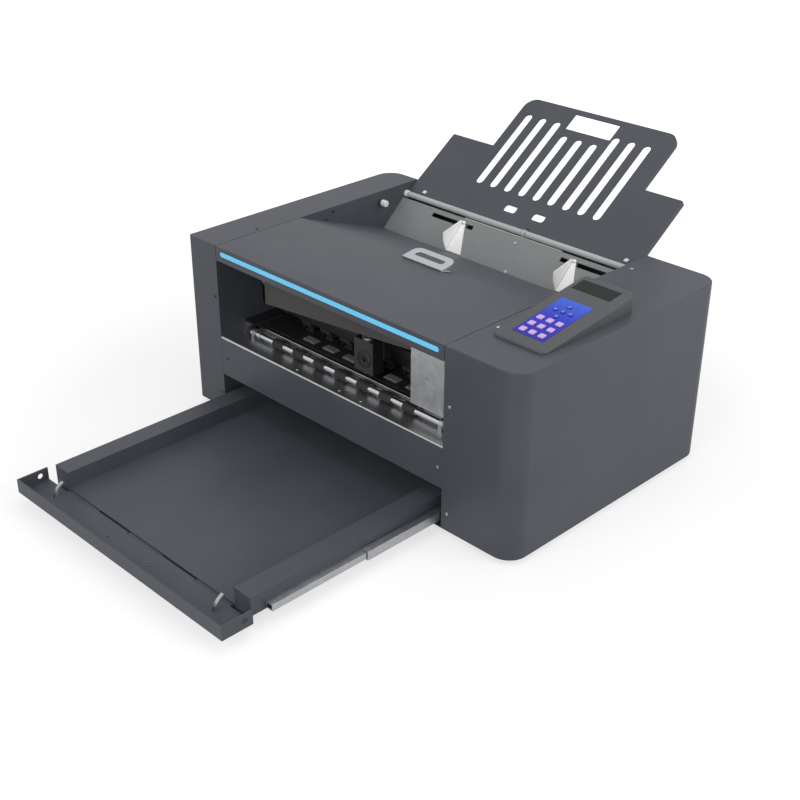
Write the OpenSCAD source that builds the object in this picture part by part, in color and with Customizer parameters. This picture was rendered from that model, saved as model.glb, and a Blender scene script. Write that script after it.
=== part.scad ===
// Sticker cutting machine: a sheet-fed desktop cutter with a hinged top cover,
// a folding paper support, a gantry with a cutting carriage and a pull-out tray.
// It is drawn as it stands in use: tray out, paper support up, cover closed.
// X runs to the right, Y to the back, Z up. The origin is on the floor, under the middle of its box.

/* [Casing] */
// Width of the casing over both end covers
body_w = 620; // [600:1:660]
// Depth of the casing from front to back
body_d = 403; // [400:1:430]
// Height of the casing above its base plate
body_h = 260; // [258:1:275]
// Thickness of the sheet steel
sheet = 2; // [1.5:0.1:2.4]
// Width of the left end cover
left_w = 60; // [52:1:66]
// Width of the right end cover
right_w = 118; // [112:1:124]
// Radius of the rounded upright edges
edge_r = 28; // [12:1:34]
// Radius of the crisp front left edge
crisp_r = 3; // [2.5:0.5:8]
// Height of the rubber feet
foot_h = 8; // [5:0.5:14]
// Radius of the rubber feet
foot_r = 12; // [8:0.5:16]
// Distance of the feet from the casing sides
foot_inset = 52; // [40:1:70]

/* [Front] */
// Lower edge of the front bar
bar_z0 = 59; // [58:0.5:62]
// Upper edge of the front bar
bar_z1 = 116; // [114:0.5:116]
// Lower edge of the front lip of the cover
lip_z = 238; // [234:1:242]
// Depth of the folded edges of the front bar
bar_fold = 20; // [12:1:24]
// Depth of the folded top edge of the front bar
bar_top_fold = 12; // [8:1:14]
// Thickness of the polished chute plate
chute_t = 1.5; // [1:0.1:1.6]
// Depth of the chute plate behind the front bar
chute_d = 46; // [44:1:48]
// Radius of the rolled front edge of the chute plate
chute_edge_r = 2; // [1.2:0.1:2]

/* [Cover] */
// Gap between the cover and the end covers
cover_gap = 0.8; // [0.5:0.1:1.5]
// Distance of the bend in the cover from the front
bend_y = 157; // [145:1:165]
// Distance of the rear edge of the cover from the back
rear_in = 82; // [81:0.5:86]
// Drop of the rear edge below the flat top
rear_drop = 58; // [54:0.5:58]
// Depth of the side flanges of the cover
flange_d = 14; // [8:1:18]
// Radius of the cover pivot studs
pivot_r = 2.5; // [2:0.1:3]
// Radius of the ears round the pivot studs
ear_r = 5.5; // [4.5:0.1:5.8]
// Height of the light strip
led_h = 7; // [5:0.5:9]
// Distance of the light strip from the cover ends
led_inset = 10; // [8:1:40]
// Width of the cover handle
handle_w = 74; // [60:1:76]
// Depth of the handle grip from its fold
handle_d = 32; // [28:1:34]
// Slope of the handle grip above the horizontal
handle_tilt = 8; // [6:0.5:10]
// Thickness of the handle plate
handle_t = 3; // [2.5:0.1:4]
// Depth of the handle foot
handle_foot = 20; // [14:1:24]
// Width of the finger slot in the handle
grip_w = 52; // [40:1:54]
// Height of the finger slot in the handle
grip_h = 10; // [8:0.5:12]

/* [Sheet feed] */
// Offset of the paper path to the right of the middle of the bay
feed_off = 19; // [15:1:23]
// Slope of the feed plate above the horizontal
feed_angle = 43; // [42:0.5:45]
// Thickness of the feed plate
feed_t = 1.5; // [1.2:0.1:2]
// Length of the feed plate down its slope
feed_len = 152; // [140:1:156]
// Distance of each side guide from the middle of the paper path
guide_x = 106; // [95:1:110]
// Length of each guide slot
slot_len = 84; // [84:1:90]
// Travel of the guides outward from where they stand
guide_out = 55; // [40:1:56]
// Travel of the guides inward from where they stand
guide_in = 15; // [8:1:15]
// Thickness of the guide sheet
guide_t = 1.5; // [1:0.1:2]
// Height of the guide walls
guide_h = 26; // [20:1:26]
// Radius of the feed rollers
pick_r = 13.5; // [11:0.5:15]
// Radius of the feed roller shaft
pick_shaft_r = 4; // [3:0.1:5]
// Module of the guide rack and pinion
rack_m = 1.2; // [1:0.1:1.3]
// Number of teeth on the guide pinion
pinion_n = 16; // [14:2:16]

/* [Paper support] */
// Slope of the raised paper support above the horizontal
flap_angle = 34.8; // [30:0.2:38]
// Depth of the wide part of the support
flap_d = 128; // [120:1:132]
// Full length of the support from its hinge
flap_len = 231; // [226:1:234]
// Width of the narrow upper part of the support
tongue_w = 284; // [276:1:300]
// Corner radius of the upper part
tongue_r = 20; // [12:1:28]
// Depth of the folded edges of the support
flap_skirt = 5; // [3:0.5:7]
// Gap between the support and the end covers
flap_gap = 2.5; // [1.5:0.1:4]
// Width of each slot in the support
vent_w = 13; // [10:0.5:15]
// Pitch of the slots in the support
vent_pitch = 28; // [26:0.5:28.5]
// Radius of the hinge barrels of the support
barrel_r = 4.5; // [4:0.1:4.8]
// Radius of the hinge rod
rod_r = 2.5; // [2:0.1:3]

/* [Rollers] */
// Distance of the delivery shaft behind the front face
exit_y = 36; // [34:0.5:36.5]
// Distance of the drive shaft behind the front face
drive_y = 95; // [92:0.5:97]
// Radius of both shafts
shaft_r = 4.5; // [4:0.1:4.6]
// Radius of the rubber grips on the delivery shaft
grip_r = 7; // [6:0.1:7]
// Length of each rubber grip
grip_len = 22; // [16:1:26]
// Pitch of the rubber grips
grip_pitch = 43.5; // [40:0.5:45]
// Radius of the drive rollers
drive_r = 8; // [8:0.1:9]
// Radius of the pinch rollers
pinch_r = 4.6; // [4:0.1:4.6]
// Length of the drive and pinch rollers
nip_len = 16; // [12:1:20]
// Pitch of the drive and pinch rollers
nip_pitch = 41; // [38:1:44]
// Radius of the belt pulleys on the shafts
pulley_r = 5.6; // [5.2:0.1:6]
// Thickness of the platen
deck_t = 2.5; // [2:0.1:2.6]
// Height of the pinch arms between the rollers and the beam
arm_h = 6.7; // [5:0.1:9]

/* [Carriage] */
// Front face of the gantry beam
beam_y = 80; // [78:0.5:82]
// Depth of the gantry beam
beam_d = 30; // [26:1:32]
// Height of the gantry beam
beam_h = 57; // [54:1:60]
// Wall of the gantry beam
beam_t = 3; // [2:0.1:4]
// Place of the carriage to the right of the paper path
carriage_off = 16; // [6:1:24]
// Width of the carriage
carriage_w = 40; // [34:1:46]
// Travel of the carriage to the left
carriage_left = 200; // [150:1:205]
// Travel of the carriage to the right
carriage_right = 130; // [90:1:132]
// Radius of the blade holder
blade_r = 8; // [7:0.1:8.5]
// Stroke of the blade holder
blade_stroke = 2.5; // [1.5:0.1:2.5]
// Radius of the carriage belt pulleys
toothed_r = 8; // [7:0.1:8.5]

/* [Tray] */
// Distance from the casing to the tray front edge when it is out
tray_out = 298; // [290:1:302]
// Length of the tray floor
tray_len = 385; // [376:1:388]
// Width of the box-shaped sides of the tray
tray_side = 30; // [27:1:35]
// Height of the tray floor above the base
tray_z = 10; // [9:0.5:11]
// Height of the tray walls above the underside of its floor
tray_h = 26; // [20:1:30]
// Thickness of the telescopic slides
slide_t = 12.5; // [11.5:0.1:13]
// Height of the telescopic slides
slide_h = 17; // [16:0.5:20]
// Gap between the moving slide profiles
slide_gap = 0.5; // [0.4:0.1:0.6]
// Wall of the slide profiles
slide_wall = 1.5; // [1.2:0.1:1.6]
// Depth of the drop-down tray front
front_d = 48; // [44:0.5:48]
// Height of the walls of the tray front
front_h = 20; // [16:1:20]
// Gap between the tray front and the end covers
front_gap = 4; // [3:0.5:6]

/* [Control panel] */
// Width of the control pod
pod_w = 81; // [76:1:90]
// Length of the control pod
pod_len = 178; // [172:1:190]
// Distance of the control pod behind the front face
pod_y = 60; // [50:1:80]
// Height of the front edge of the pod
pod_front_h = 4; // [4:0.5:6]
// Height of the rear edge of the pod
pod_rear_h = 29; // [24:1:34]
// Corner radius of the pod
pod_r = 10; // [6:1:14]
// Size of the square keys
key_w = 8.4; // [7:0.1:10.8]
// Pitch of the square keys across the pod
key_px = 14.8; // [14.5:0.1:15.4]
// Pitch of the square keys along the pod
key_py = 16.3; // [15:0.1:16.8]
// Radius of the round keys
nav_r = 3.2; // [2.6:0.1:4.3]
// Pitch of the round keys across the pod
nav_px = 11.5; // [11.4:0.1:13]
// Pitch of the round keys along the pod
nav_py = 13; // [12:0.1:13.4]
// Travel of every key
key_travel = 0.8; // [0.5:0.1:1]
// Clearance round every key
key_gap = 0.3; // [0.2:0.05:0.4]

/* [Fits] */
// Running clearance of pins and shafts
run = 0.05; // [0.02:0.01:0.1]
// Clearance between moving faces
clear = 0.3; // [0.2:0.05:0.4]

/* [Hidden] */
$fn = 64;

casing_grey = [0.36, 0.38, 0.40];
plate_grey = [0.49, 0.50, 0.50];
steel = [0.72, 0.73, 0.74];
black = [0.10, 0.10, 0.11];
white = [0.94, 0.94, 0.93];

// The bay between the two end covers
bay_x0 = left_w;
bay_x1 = body_w - right_w;
bay_w = bay_x1 - bay_x0;
bay_cx = (bay_x0 + bay_x1) / 2;
feed_cx = bay_cx + feed_off;
inside = 1;

// Cover profile in the Y and Z plane
rear_y = body_d - rear_in;
rear_z = body_h - rear_drop;
cover_angle = atan2(rear_drop, rear_y - bend_y);
cover_run = norm([rear_y - bend_y, rear_drop]);
pivot_y = rear_y - 3;
pivot_z = rear_z - 3;
cover_x0 = bay_x0 + cover_gap;
cover_x1 = bay_x1 - cover_gap;

// Hinge line of the paper support and top edge of the feed plate
hinge_y = rear_y + 57;
hinge_z = rear_z + 41;
feed_y = hinge_y - 1;
feed_z = hinge_z + 1;
feed_top = 8;
slot_v = 19;
slot_w = 6.8;
stem_w = slot_w - 3.4;
shelf_z = hinge_z - 3;

// Feed roller centre, one clearance above the feed plate
pick_v = 126;
pick_n = pick_r + 2 * clear;
pick_y = feed_y - pick_v * cos(feed_angle) - pick_n * sin(feed_angle);
pick_z = feed_z - pick_v * sin(feed_angle) + pick_n * cos(feed_angle);

// Rack and pinion under the feed plate
pitch = PI * rack_m;
pinion_r = rack_m * pinion_n / 2;
tooth_top = 0.83 * rack_m;
tooth_root = 1.17 * rack_m;
tooth_play = 0.35;
rack_n0 = -feed_t - 6;
rack_n1 = -feed_t - 2.5;
rack_bar = 3;

// Rollers, set out upward from the chute plate
belt_t = 1.3;
shaft_z = bar_z1 + chute_t + pulley_r + belt_t + 2 * clear;
deck_z = shaft_z + drive_r - 0.5;
pinch_z = shaft_z + drive_r + pinch_r + clear;
beam_z = pinch_z + pinch_r + clear + arm_h;
nip_count = 7;
nip_x0 = feed_cx - 3.6 * nip_pitch;
grip_count = 7;
shaft_x0 = bay_x0 + 20;
shaft_x1 = bay_x1 - 26;
belt_x0 = shaft_x0 + 2;
belt_x1 = shaft_x0 + 10;
motor_w = 42;
motor_len = 40;
motor_shaft_r = 2.5;
motor_reach = 22;

// Carriage
carriage_x = feed_cx + carriage_off;
rail_z0 = beam_z + 17;
rail_h = 12;
rail_d = 6;
blade_y = chute_d + 6;
belt_z = beam_z + 48;
belt_y0 = beam_y - 14;
belt_y1 = beam_y - 8;
pulley_x0 = bay_x0 + 28;
pulley_x1 = bay_x1 - 28;
groove_w = 3;

// Tray
tray_y = -tray_out;
front_y = tray_y - 4;
front_z = tray_z - 1.5;
knuckle_r = 2.6;
knuckle_pin_r = 1;
tray_x0 = bay_x0 + slide_t + 3.5;
tray_x1 = bay_x1 - slide_t - 3.5;
floor_x0 = tray_x0 + tray_side;
floor_x1 = tray_x1 - tray_side;
tray_w = floor_x1 - floor_x0;
slide_z = tray_z - 2;
slide_y0 = 22;
slide_len = body_d - 33;
tray_travel = tray_out + 0.5;

// Control pod
pod_cx = bay_x1 + right_w / 2 + 1;
pod_angle = atan2(pod_rear_h - pod_front_h, pod_len);
pod_wall = 2.5;
plate_t = 1.5;
plate_proud = 0.3;
plate_w = 3 * key_px + 4;
keypad_s0 = 19;
keypad_len = 3 * key_py + 2 * nav_py + 20;
key_s0 = keypad_s0 + 9.5;
nav_s0 = key_s0 + 2 * key_py + 12;
lcd_w = 60;
lcd_len = 25;
lcd_s0 = keypad_s0 + keypad_len + 25;
key_lip = 1.3;

// Power inlet and switch on the back of the right cover
inlet_x = bay_x1 + right_w / 2 - 20;
inlet_z = 42;
inlet_w = 29.4;
inlet_h = 23.4;
switch_x = inlet_x + 36;
switch_w = 14;
switch_h = 21;
rocker_tilt = 8;

// Middle of the whole object on the floor
reach_y0 = front_y - front_d;
reach_y1 = hinge_y + flap_len * cos(flap_angle) + (flap_skirt + inside) * sin(flap_angle);
origin_shift = [-body_w / 2, -(reach_y0 + reach_y1) / 2, foot_h];

// Shared shapes

module placed() { translate(origin_shift) children(); }

// A block between two opposite corners
module block(a, b) { translate(a) cube(b - a); }

// Round bars along X, Y and Z
module bar_x(r, x0, x1, y, z) { translate([x0, y, z]) rotate([0, 90, 0]) cylinder(r = r, h = x1 - x0); }
module bar_y(r, y0, y1, x, z) { translate([x, y0, z]) rotate([-90, 0, 0]) cylinder(r = r, h = y1 - y0); }
module bar_z(r, z0, z1, x, y) { translate([x, y, z0]) cylinder(r = r, h = z1 - z0); }

// A profile in Y and Z, drawn out along X
module along_x(x0, x1) {
    translate([x0, 0, 0]) rotate([90, 0, 90]) linear_extrude(x1 - x0) children();
}

// What is left outside a rounded corner at the origin
module corner_waste(r) {
    difference() {
        translate([-1, -1]) square(r + 1);
        translate([r, r]) circle(r);
    }
}

// A rectangle with its own radius at each corner: front left, front right, back right, back left
module plan(x0, x1, y0, y1, fl, fr, br, bl) {
    difference() {
        translate([x0, y0]) square([x1 - x0, y1 - y0]);
        if (fl > 0) translate([x0, y0]) corner_waste(fl);
        if (fr > 0) translate([x1, y0]) mirror([1, 0]) corner_waste(fr);
        if (br > 0) translate([x1, y1]) mirror([1, 0]) mirror([0, 1]) corner_waste(br);
        if (bl > 0) translate([x0, y1]) mirror([0, 1]) corner_waste(bl);
    }
}

// A slot with round ends along Y
module slot_y(w, y0, y1) {
    translate([-w / 2, y0 + w / 2]) square([w, y1 - y0 - w]);
    translate([0, y0 + w / 2]) circle(w / 2);
    translate([0, y1 - w / 2]) circle(w / 2);
}

// A closed belt round two equal pulleys in the Y and Z plane, or in the X and Z plane
module belt_loop(r, length, w) {
    difference() {
        belt_slab(r + belt_t, length, w, 0);
        belt_slab(r, length, w, 1);
    }
}
module belt_slab(r, length, w, over) {
    translate([0, 0, -over]) cylinder(r = r, h = w + 2 * over);
    translate([length, 0, -over]) cylinder(r = r, h = w + 2 * over);
    translate([0, -r, -over]) cube([length, 2 * r, w + 2 * over]);
}

// The frame of the feed plate: X across, Y up its slope from its top edge, Z off its face
module on_feed_plate() { translate([0, feed_y, feed_z]) rotate([feed_angle, 0, 0]) children(); }

// The frame of the paper support: X across, Y up its slope from the hinge, Z off its face
module on_flap() { translate([0, hinge_y, hinge_z]) rotate([flap_angle, 0, 0]) children(); }

// The frame of the sloped part of the cover: Y down the slope from the bend, Z off its face
module on_slope() { translate([0, bend_y, body_h]) rotate([-cover_angle, 0, 0]) children(); }

// The frame of the top of the pod: X from its middle, Y up its slope, Z off its face
module on_pod() { translate([pod_cx, pod_y, body_h + pod_front_h]) rotate([pod_angle, 0, 0]) children(); }

// Casing

module base_pan() {
    color(casing_grey) placed()
        linear_extrude(sheet) plan(0, body_w, 0, body_d, crisp_r, edge_r, edge_r, edge_r);
}

module rubber_feet() {
    color(black) placed()
        for (x = [foot_inset, body_w - foot_inset], y = [foot_inset, body_d - foot_inset])
            bar_z(foot_r, -foot_h, 0, x, y);
}

// One end cover: a folded shell, open below, with its inner wall facing the bay
module end_shell(x0, x1, fl, fr, br, bl) {
    inner = sheet;
    difference() {
        translate([0, 0, sheet]) linear_extrude(body_h - sheet) plan(x0, x1, 0, body_d, fl, fr, br, bl);
        linear_extrude(body_h - sheet)
            plan(x0 + sheet, x1 - sheet, sheet, body_d - sheet,
                max(fl - inner, 0), max(fr - inner, 0), max(br - inner, 0), max(bl - inner, 0));
    }
}

module left_cover() {
    color(casing_grey) placed() difference() {
        end_shell(0, bay_x0, crisp_r, 0, 0, edge_r);
        bar_x(pivot_r + run, bay_x0 - sheet - 1, bay_x0 + 1, pivot_y, pivot_z);
    }
}

module right_cover() {
    color(casing_grey) placed() difference() {
        end_shell(bay_x1, body_w, 0, edge_r, edge_r, 0);
        bar_x(pivot_r + run, bay_x1 - 1, bay_x1 + sheet + 1, pivot_y, pivot_z);
        for (p = [[drive_y, shaft_z], [pick_y, pick_z]])
            bar_x(shaft_r + 1.5, bay_x1 - 1, bay_x1 + sheet + 1, p[0], p[1]);
        block([inlet_x - inlet_w / 2, body_d - sheet - 1, inlet_z - inlet_h / 2],
            [inlet_x + inlet_w / 2, body_d + 1, inlet_z + inlet_h / 2]);
        block([switch_x - switch_w / 2, body_d - sheet - 1, inlet_z - switch_h / 2],
            [switch_x + switch_w / 2, body_d + 1, inlet_z + switch_h / 2]);
    }
}

module rear_panel() {
    vent_count = 12;
    vent_step = 16;
    vent_len = 60;
    vent_gap = 5;
    color(casing_grey) placed() {
        difference() {
            block([bay_x0, body_d - sheet, sheet], [bay_x1, body_d, shelf_z]);
            for (row = [0, 1], i = [0 : vent_count - 1])
                translate([bay_cx + (i - (vent_count - 1) / 2) * vent_step, body_d + 1, 70 + row * 76])
                    rotate([90, 0, 0]) linear_extrude(sheet + 2) slot_y(vent_gap, 0, vent_len);
        }
        block([bay_x0, hinge_y + 8, shelf_z - sheet], [bay_x1, body_d - sheet, shelf_z]);
    }
}

module front_bar() {
    color(casing_grey) placed() {
        block([bay_x0, 0, bar_z0], [bay_x1, sheet, bar_z1]);
        block([bay_x0, sheet, bar_z0], [bay_x1, bar_fold, bar_z0 + sheet]);
        block([bay_x0, sheet, bar_z1 - sheet], [bay_x1, bar_top_fold, bar_z1]);
    }
}

module chute_plate() {
    color(steel) placed() difference() {
        union() {
            block([bay_x0, chute_edge_r, bar_z1], [bay_x1, chute_d, bar_z1 + chute_t]);
            bar_x(chute_edge_r, bay_x0, bay_x1, chute_edge_r, bar_z1 + chute_edge_r);
            block([bay_x0, chute_d - chute_t, bar_z1], [bay_x1, chute_d, deck_z - deck_t]);
        }
        block([belt_x0 - 2, chute_d - chute_t - 1, bar_z1 + chute_t], [belt_x1 + 2, chute_d + 1, deck_z]);
    }
}

module platen_deck() {
    window = 2;
    color(plate_grey) placed() difference() {
        block([bay_x0, chute_d - chute_t, deck_z - deck_t],
            [bay_x1, feed_y - feed_len * cos(feed_angle), deck_z]);
        for (i = [0 : nip_count - 1])
            block([nip_x0 + i * nip_pitch - nip_len / 2 - window, drive_y - drive_r - window, 0],
                [nip_x0 + i * nip_pitch + nip_len / 2 + window, drive_y + drive_r + window, body_h]);
        block([belt_x0 - window, 0, 0], [belt_x1 + window, drive_y + pulley_r + belt_t + window, body_h]);
        block([bay_x0 + 8, blade_y - groove_w / 2, deck_z - deck_t + 0.5],
            [bay_x1 - 8, blade_y + groove_w / 2, body_h]);
    }
}

// Gantry

module gantry_beam() {
    color(black) placed() {
        difference() {
            block([bay_x0, beam_y, beam_z], [bay_x1, beam_y + beam_d, beam_z + beam_h]);
            block([bay_x0 - 1, beam_y + beam_t, beam_z + beam_t],
                [bay_x1 + 1, beam_y + beam_d - beam_t, beam_z + beam_h - beam_t]);
            bar_y(motor_shaft_r + 1.5, beam_y - 1, beam_y + beam_d + 1, pulley_x0, belt_z);
        }
        block([bay_x0 + 15, beam_y - rail_d, rail_z0], [bay_x1 - 12, beam_y, rail_z0 + rail_h]);
        bar_y(motor_shaft_r, belt_y0 - 1, beam_y, pulley_x1, belt_z);
        beam_shield();
    }
}

// A sheet in front of the carriage with a slanted lower edge, and two hangers that carry it
module beam_shield() {
    x0 = bay_x0 + 57;
    x1 = bay_x1 - 4;
    y1 = blade_y - 11;
    top = lip_z - 8;
    hang = beam_z + beam_h + 5;
    translate([0, y1, 0]) rotate([90, 0, 0]) linear_extrude(sheet)
        polygon([[x0, top], [x0, beam_z + 28], [x1, beam_z + 66], [x1, top]]);
    for (x = [x0, x1 - sheet]) {
        block([x, y1 - inside, x < bay_cx ? hang : beam_z + 70], [x + sheet, beam_y + beam_d, top]);
        block([x, beam_y, beam_z + beam_h - inside], [x + sheet, beam_y + beam_d, top]);
    }
}

module end_plate() {
    wide = 86;
    y = chute_d - 16;
    z0 = shaft_z + 13;
    z1 = lip_z - 6;
    color(steel) placed() {
        block([bay_x1 - wide, y, z0], [bay_x1, y + sheet, z1]);
        block([bay_x1 - sheet, y + sheet, z0], [bay_x1, y + 12, z1]);
    }
}

module shaft_bearings() {
    wide = 6;
    tall = 7;
    color(steel) placed() {
        for (x = [belt_x1 + 3, shaft_x1 - wide - 4]) difference() {
            union() {
                block([x, exit_y - tall, bar_z1 + chute_t], [x + wide, exit_y + tall, shaft_z]);
                bar_x(tall, x, x + wide, exit_y, shaft_z);
            }
            bar_x(shaft_r + run, x - 1, x + wide + 1, exit_y, shaft_z);
        }
        for (x = [belt_x1 + 3, shaft_x1 - wide - 4]) difference() {
            block([x, drive_y - tall, shaft_z - tall], [x + wide, drive_y + tall, deck_z - deck_t]);
            bar_x(shaft_r + run, x - 1, x + wide + 1, drive_y, shaft_z);
        }
        difference() {
            bar_x(pick_shaft_r + 5, bay_x0, bay_x0 + wide, pick_y, pick_z);
            bar_x(pick_shaft_r + run, bay_x0 - 1, bay_x0 + wide + 1, pick_y, pick_z);
        }
    }
}

// A stepper motor with its face at the origin, its bore along Z
module stepper() {
    chamfer = 5;
    difference() {
        translate([-motor_w / 2, -motor_w / 2, 0]) cube([motor_w, motor_w, motor_len]);
        for (a = [0 : 90 : 270])
            rotate([0, 0, a]) translate([motor_w / 2, motor_w / 2, -1]) rotate([0, 0, 45])
                translate([-chamfer, -chamfer, 0] / sqrt(2)) translate([0, -motor_w / 2, 0])
                    cube([motor_w, motor_w, motor_len + 2]);
        translate([0, 0, -1]) cylinder(r = motor_shaft_r + run, h = motor_reach + 2);
    }
}

module stepper_motors() {
    color(black) placed() {
        for (p = [[drive_y, shaft_z], [pick_y, pick_z]])
            translate([bay_x1 + sheet, p[0], p[1]]) rotate([0, 90, 0]) stepper();
        translate([pulley_x0, beam_y + beam_d, belt_z]) rotate([-90, 0, 0]) stepper();
    }
}

module timing_belts() {
    color(black) placed() {
        translate([belt_x0, exit_y, shaft_z]) rotate([90, 0, 90])
            belt_loop(pulley_r + clear, drive_y - exit_y, belt_x1 - belt_x0);
        translate([pulley_x0, belt_y1, belt_z]) rotate([90, 0, 0])
            belt_loop(toothed_r + clear, pulley_x1 - pulley_x0, belt_y1 - belt_y0);
    }
}

// Hangers under the beam, one above each drive roller
module pinch_arms() {
    cheek = 2;
    depth = 24;
    half = nip_len / 2 + clear;
    color(black) placed()
        for (i = [0 : nip_count - 1]) translate([nip_x0 + i * nip_pitch, 0, 0]) difference() {
            union() {
                block([-half - cheek, drive_y - depth / 2, pinch_z + pinch_r + clear],
                    [half + cheek, drive_y + depth / 2, beam_z]);
                for (s = [-half - cheek, half])
                    block([s, drive_y - depth / 3, pinch_z - 3], [s + cheek, drive_y + depth / 3, beam_z]);
            }
            bar_x(1.5 + run, -half - cheek - 1, half + cheek + 1, drive_y, pinch_z);
        }
}

module pinch_rollers() {
    cheek = 2;
    color(black) placed()
        for (i = [0 : nip_count - 1]) translate([nip_x0 + i * nip_pitch, 0, 0]) {
            bar_x(pinch_r, -nip_len / 2, nip_len / 2, drive_y, pinch_z);
            bar_x(1.5, -nip_len / 2 - clear - cheek, nip_len / 2 + clear + cheek, drive_y, pinch_z);
        }
}

module drive_shaft() {
    color(steel) placed() {
        bar_x(shaft_r, shaft_x0, bay_x1 - 2, drive_y, shaft_z);
        bar_x(motor_shaft_r, bay_x1 - 3, bay_x1 + sheet + motor_reach, drive_y, shaft_z);
        bar_x(pulley_r, belt_x0, belt_x1, drive_y, shaft_z);
        for (i = [0 : nip_count - 1])
            bar_x(drive_r, nip_x0 + i * nip_pitch - nip_len / 2, nip_x0 + i * nip_pitch + nip_len / 2,
                drive_y, shaft_z);
    }
}

module delivery_shaft() {
    color(steel) placed() {
        bar_x(shaft_r, shaft_x0, shaft_x1, exit_y, shaft_z);
        bar_x(pulley_r, belt_x0, belt_x1, exit_y, shaft_z);
        for (i = [0 : grip_count - 1]) {
            x = bay_cx + (i - (grip_count - 1) / 2) * grip_pitch;
            bar_x(grip_r, x - grip_len / 2, x + grip_len / 2, exit_y, shaft_z);
        }
    }
}

module carriage() {
    x0 = carriage_x - carriage_w / 2;
    x1 = carriage_x + carriage_w / 2;
    belt_low = belt_z - toothed_r - clear - belt_t;
    color(black) placed() difference() {
        union() {
            block([x0, blade_y + 9, rail_z0 - 8], [x1, beam_y - 2 * clear, rail_z0 + rail_h + 8]);
            block([x0 + 2, blade_y - 10, deck_z + 8], [x1 - 2, blade_y + 10, belt_low]);
            block([x0 + 8, belt_y0, rail_z0 + rail_h], [x1 - 8, belt_y1, belt_low - clear]);
        }
        block([x0 - 1, beam_y - rail_d - clear, rail_z0 - clear],
            [x1 + 1, beam_y + 1, rail_z0 + rail_h + clear]);
        bar_z(blade_r + run, 0, body_h, carriage_x, blade_y);
    }
}

module blade_holder() {
    cap_z = belt_z - toothed_r - clear - belt_t + blade_stroke + clear;
    color(steel) placed() {
        bar_z(blade_r, deck_z + 6, cap_z + 1, carriage_x, blade_y);
        bar_z(blade_r + 1.5, cap_z, cap_z + 14, carriage_x, blade_y);
        bar_z(0.8, deck_z + 1, deck_z + 7, carriage_x, blade_y);
    }
}

// A belt pulley with two flanges, its axis along Y
module flanged_pulley(x) {
    bar_y(toothed_r, belt_y0 - clear, belt_y1 + clear, x, belt_z);
    for (y = [belt_y0 - clear - 0.8, belt_y1 + clear])
        bar_y(toothed_r + 2, y, y + 0.8, x, belt_z);
}

module drive_pulley() {
    color(steel) placed() {
        flanged_pulley(pulley_x0);
        bar_y(motor_shaft_r, belt_y0, beam_y + beam_d + motor_reach, pulley_x0, belt_z);
    }
}

module idler_pulley() {
    color(steel) placed() difference() {
        flanged_pulley(pulley_x1);
        bar_y(motor_shaft_r + run, belt_y0 - 5, belt_y1 + 5, pulley_x1, belt_z);
    }
}

// Sheet feed

module feed_plate() {
    color(plate_grey) placed() on_feed_plate() {
        difference() {
            block([bay_x0, -feed_len - feed_top, -feed_t], [bay_x1, -feed_top, 0]);
            for (s = [-1, 1])
                block([feed_cx + s * (guide_x + 20) - slot_len / 2, -slot_v - slot_w / 2, -feed_t - 1],
                    [feed_cx + s * (guide_x + 20) + slot_len / 2, -slot_v + slot_w / 2, 1]);
        }
        translate([feed_cx, -slot_v, rack_n0 - 1]) cylinder(r = motor_shaft_r, h = -rack_n0 + 1 - feed_t);
    }
}

// One guide: a foot on the plate, a standing wall, a stem through the slot and a rack below
module guide(x, way) {
    fold = x;
    stem = 5;
    far = guide_out + guide_in;
    on_feed_plate() {
        translate([0, 0, clear]) linear_extrude(guide_t)
            polygon([[fold, -13], [fold + 4, -13], [fold + 12, -30], [fold + 30, -66], [fold, -66]]);
        translate([fold, 0, 0]) rotate([90, 0, -90]) linear_extrude(guide_t)
            polygon([[13, clear], [16, 7], [50, guide_h], [58, guide_h - 8], [66, clear]]);
        block([fold - stem, -slot_v - stem_w / 2, rack_n0],
            [fold + stem, -slot_v + stem_w / 2, clear + guide_t]);
        block([fold - stem, -slot_v + (way > 0 ? -4 : -pinion_r - tooth_root - rack_bar), rack_n0],
            [fold + stem, -slot_v + (way > 0 ? pinion_r + tooth_root + rack_bar : 4), rack_n1]);
        rack(way, way > 0 ? fold - stem : feed_cx - far - 6, way > 0 ? feed_cx + far + 6 : fold + stem);
    }
}

// One straight-sided tooth, from its root to its tip
module tooth(root, tip) {
    half = pitch / 4 - tooth_play / 2;
    wide = half + tan(20) * tooth_root;
    slim = half - tan(20) * tooth_top;
    polygon([[-wide, root], [-slim, tip], [slim, tip], [wide, root]]);
}

// A rack beside the pinion: its bar and the teeth that face the pinion
module rack(way, x0, x1) {
    root = pinion_r + tooth_root;
    first = ceil((x0 + pitch - feed_cx) / pitch - 0.5);
    last = floor((x1 - pitch - feed_cx) / pitch - 0.5);
    translate([0, -slot_v, rack_n0]) linear_extrude(rack_n1 - rack_n0) {
        translate([x0, way > 0 ? root : -root - rack_bar]) square([x1 - x0, rack_bar]);
        for (i = [first : last]) translate([feed_cx + (i + 0.5) * pitch, 0]) mirror([0, way > 0 ? 0 : 1])
            tooth(root + 0.01, pinion_r - tooth_top);
    }
}

module guide_left() { color(white) placed() guide(feed_cx - guide_x, 1); }
module guide_right() { color(white) placed() guide(feed_cx + guide_x, -1); }

// A point turned about the origin
function turned(p, a) = [p[0] * cos(a) - p[1] * sin(a), p[0] * sin(a) + p[1] * cos(a)];

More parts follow.
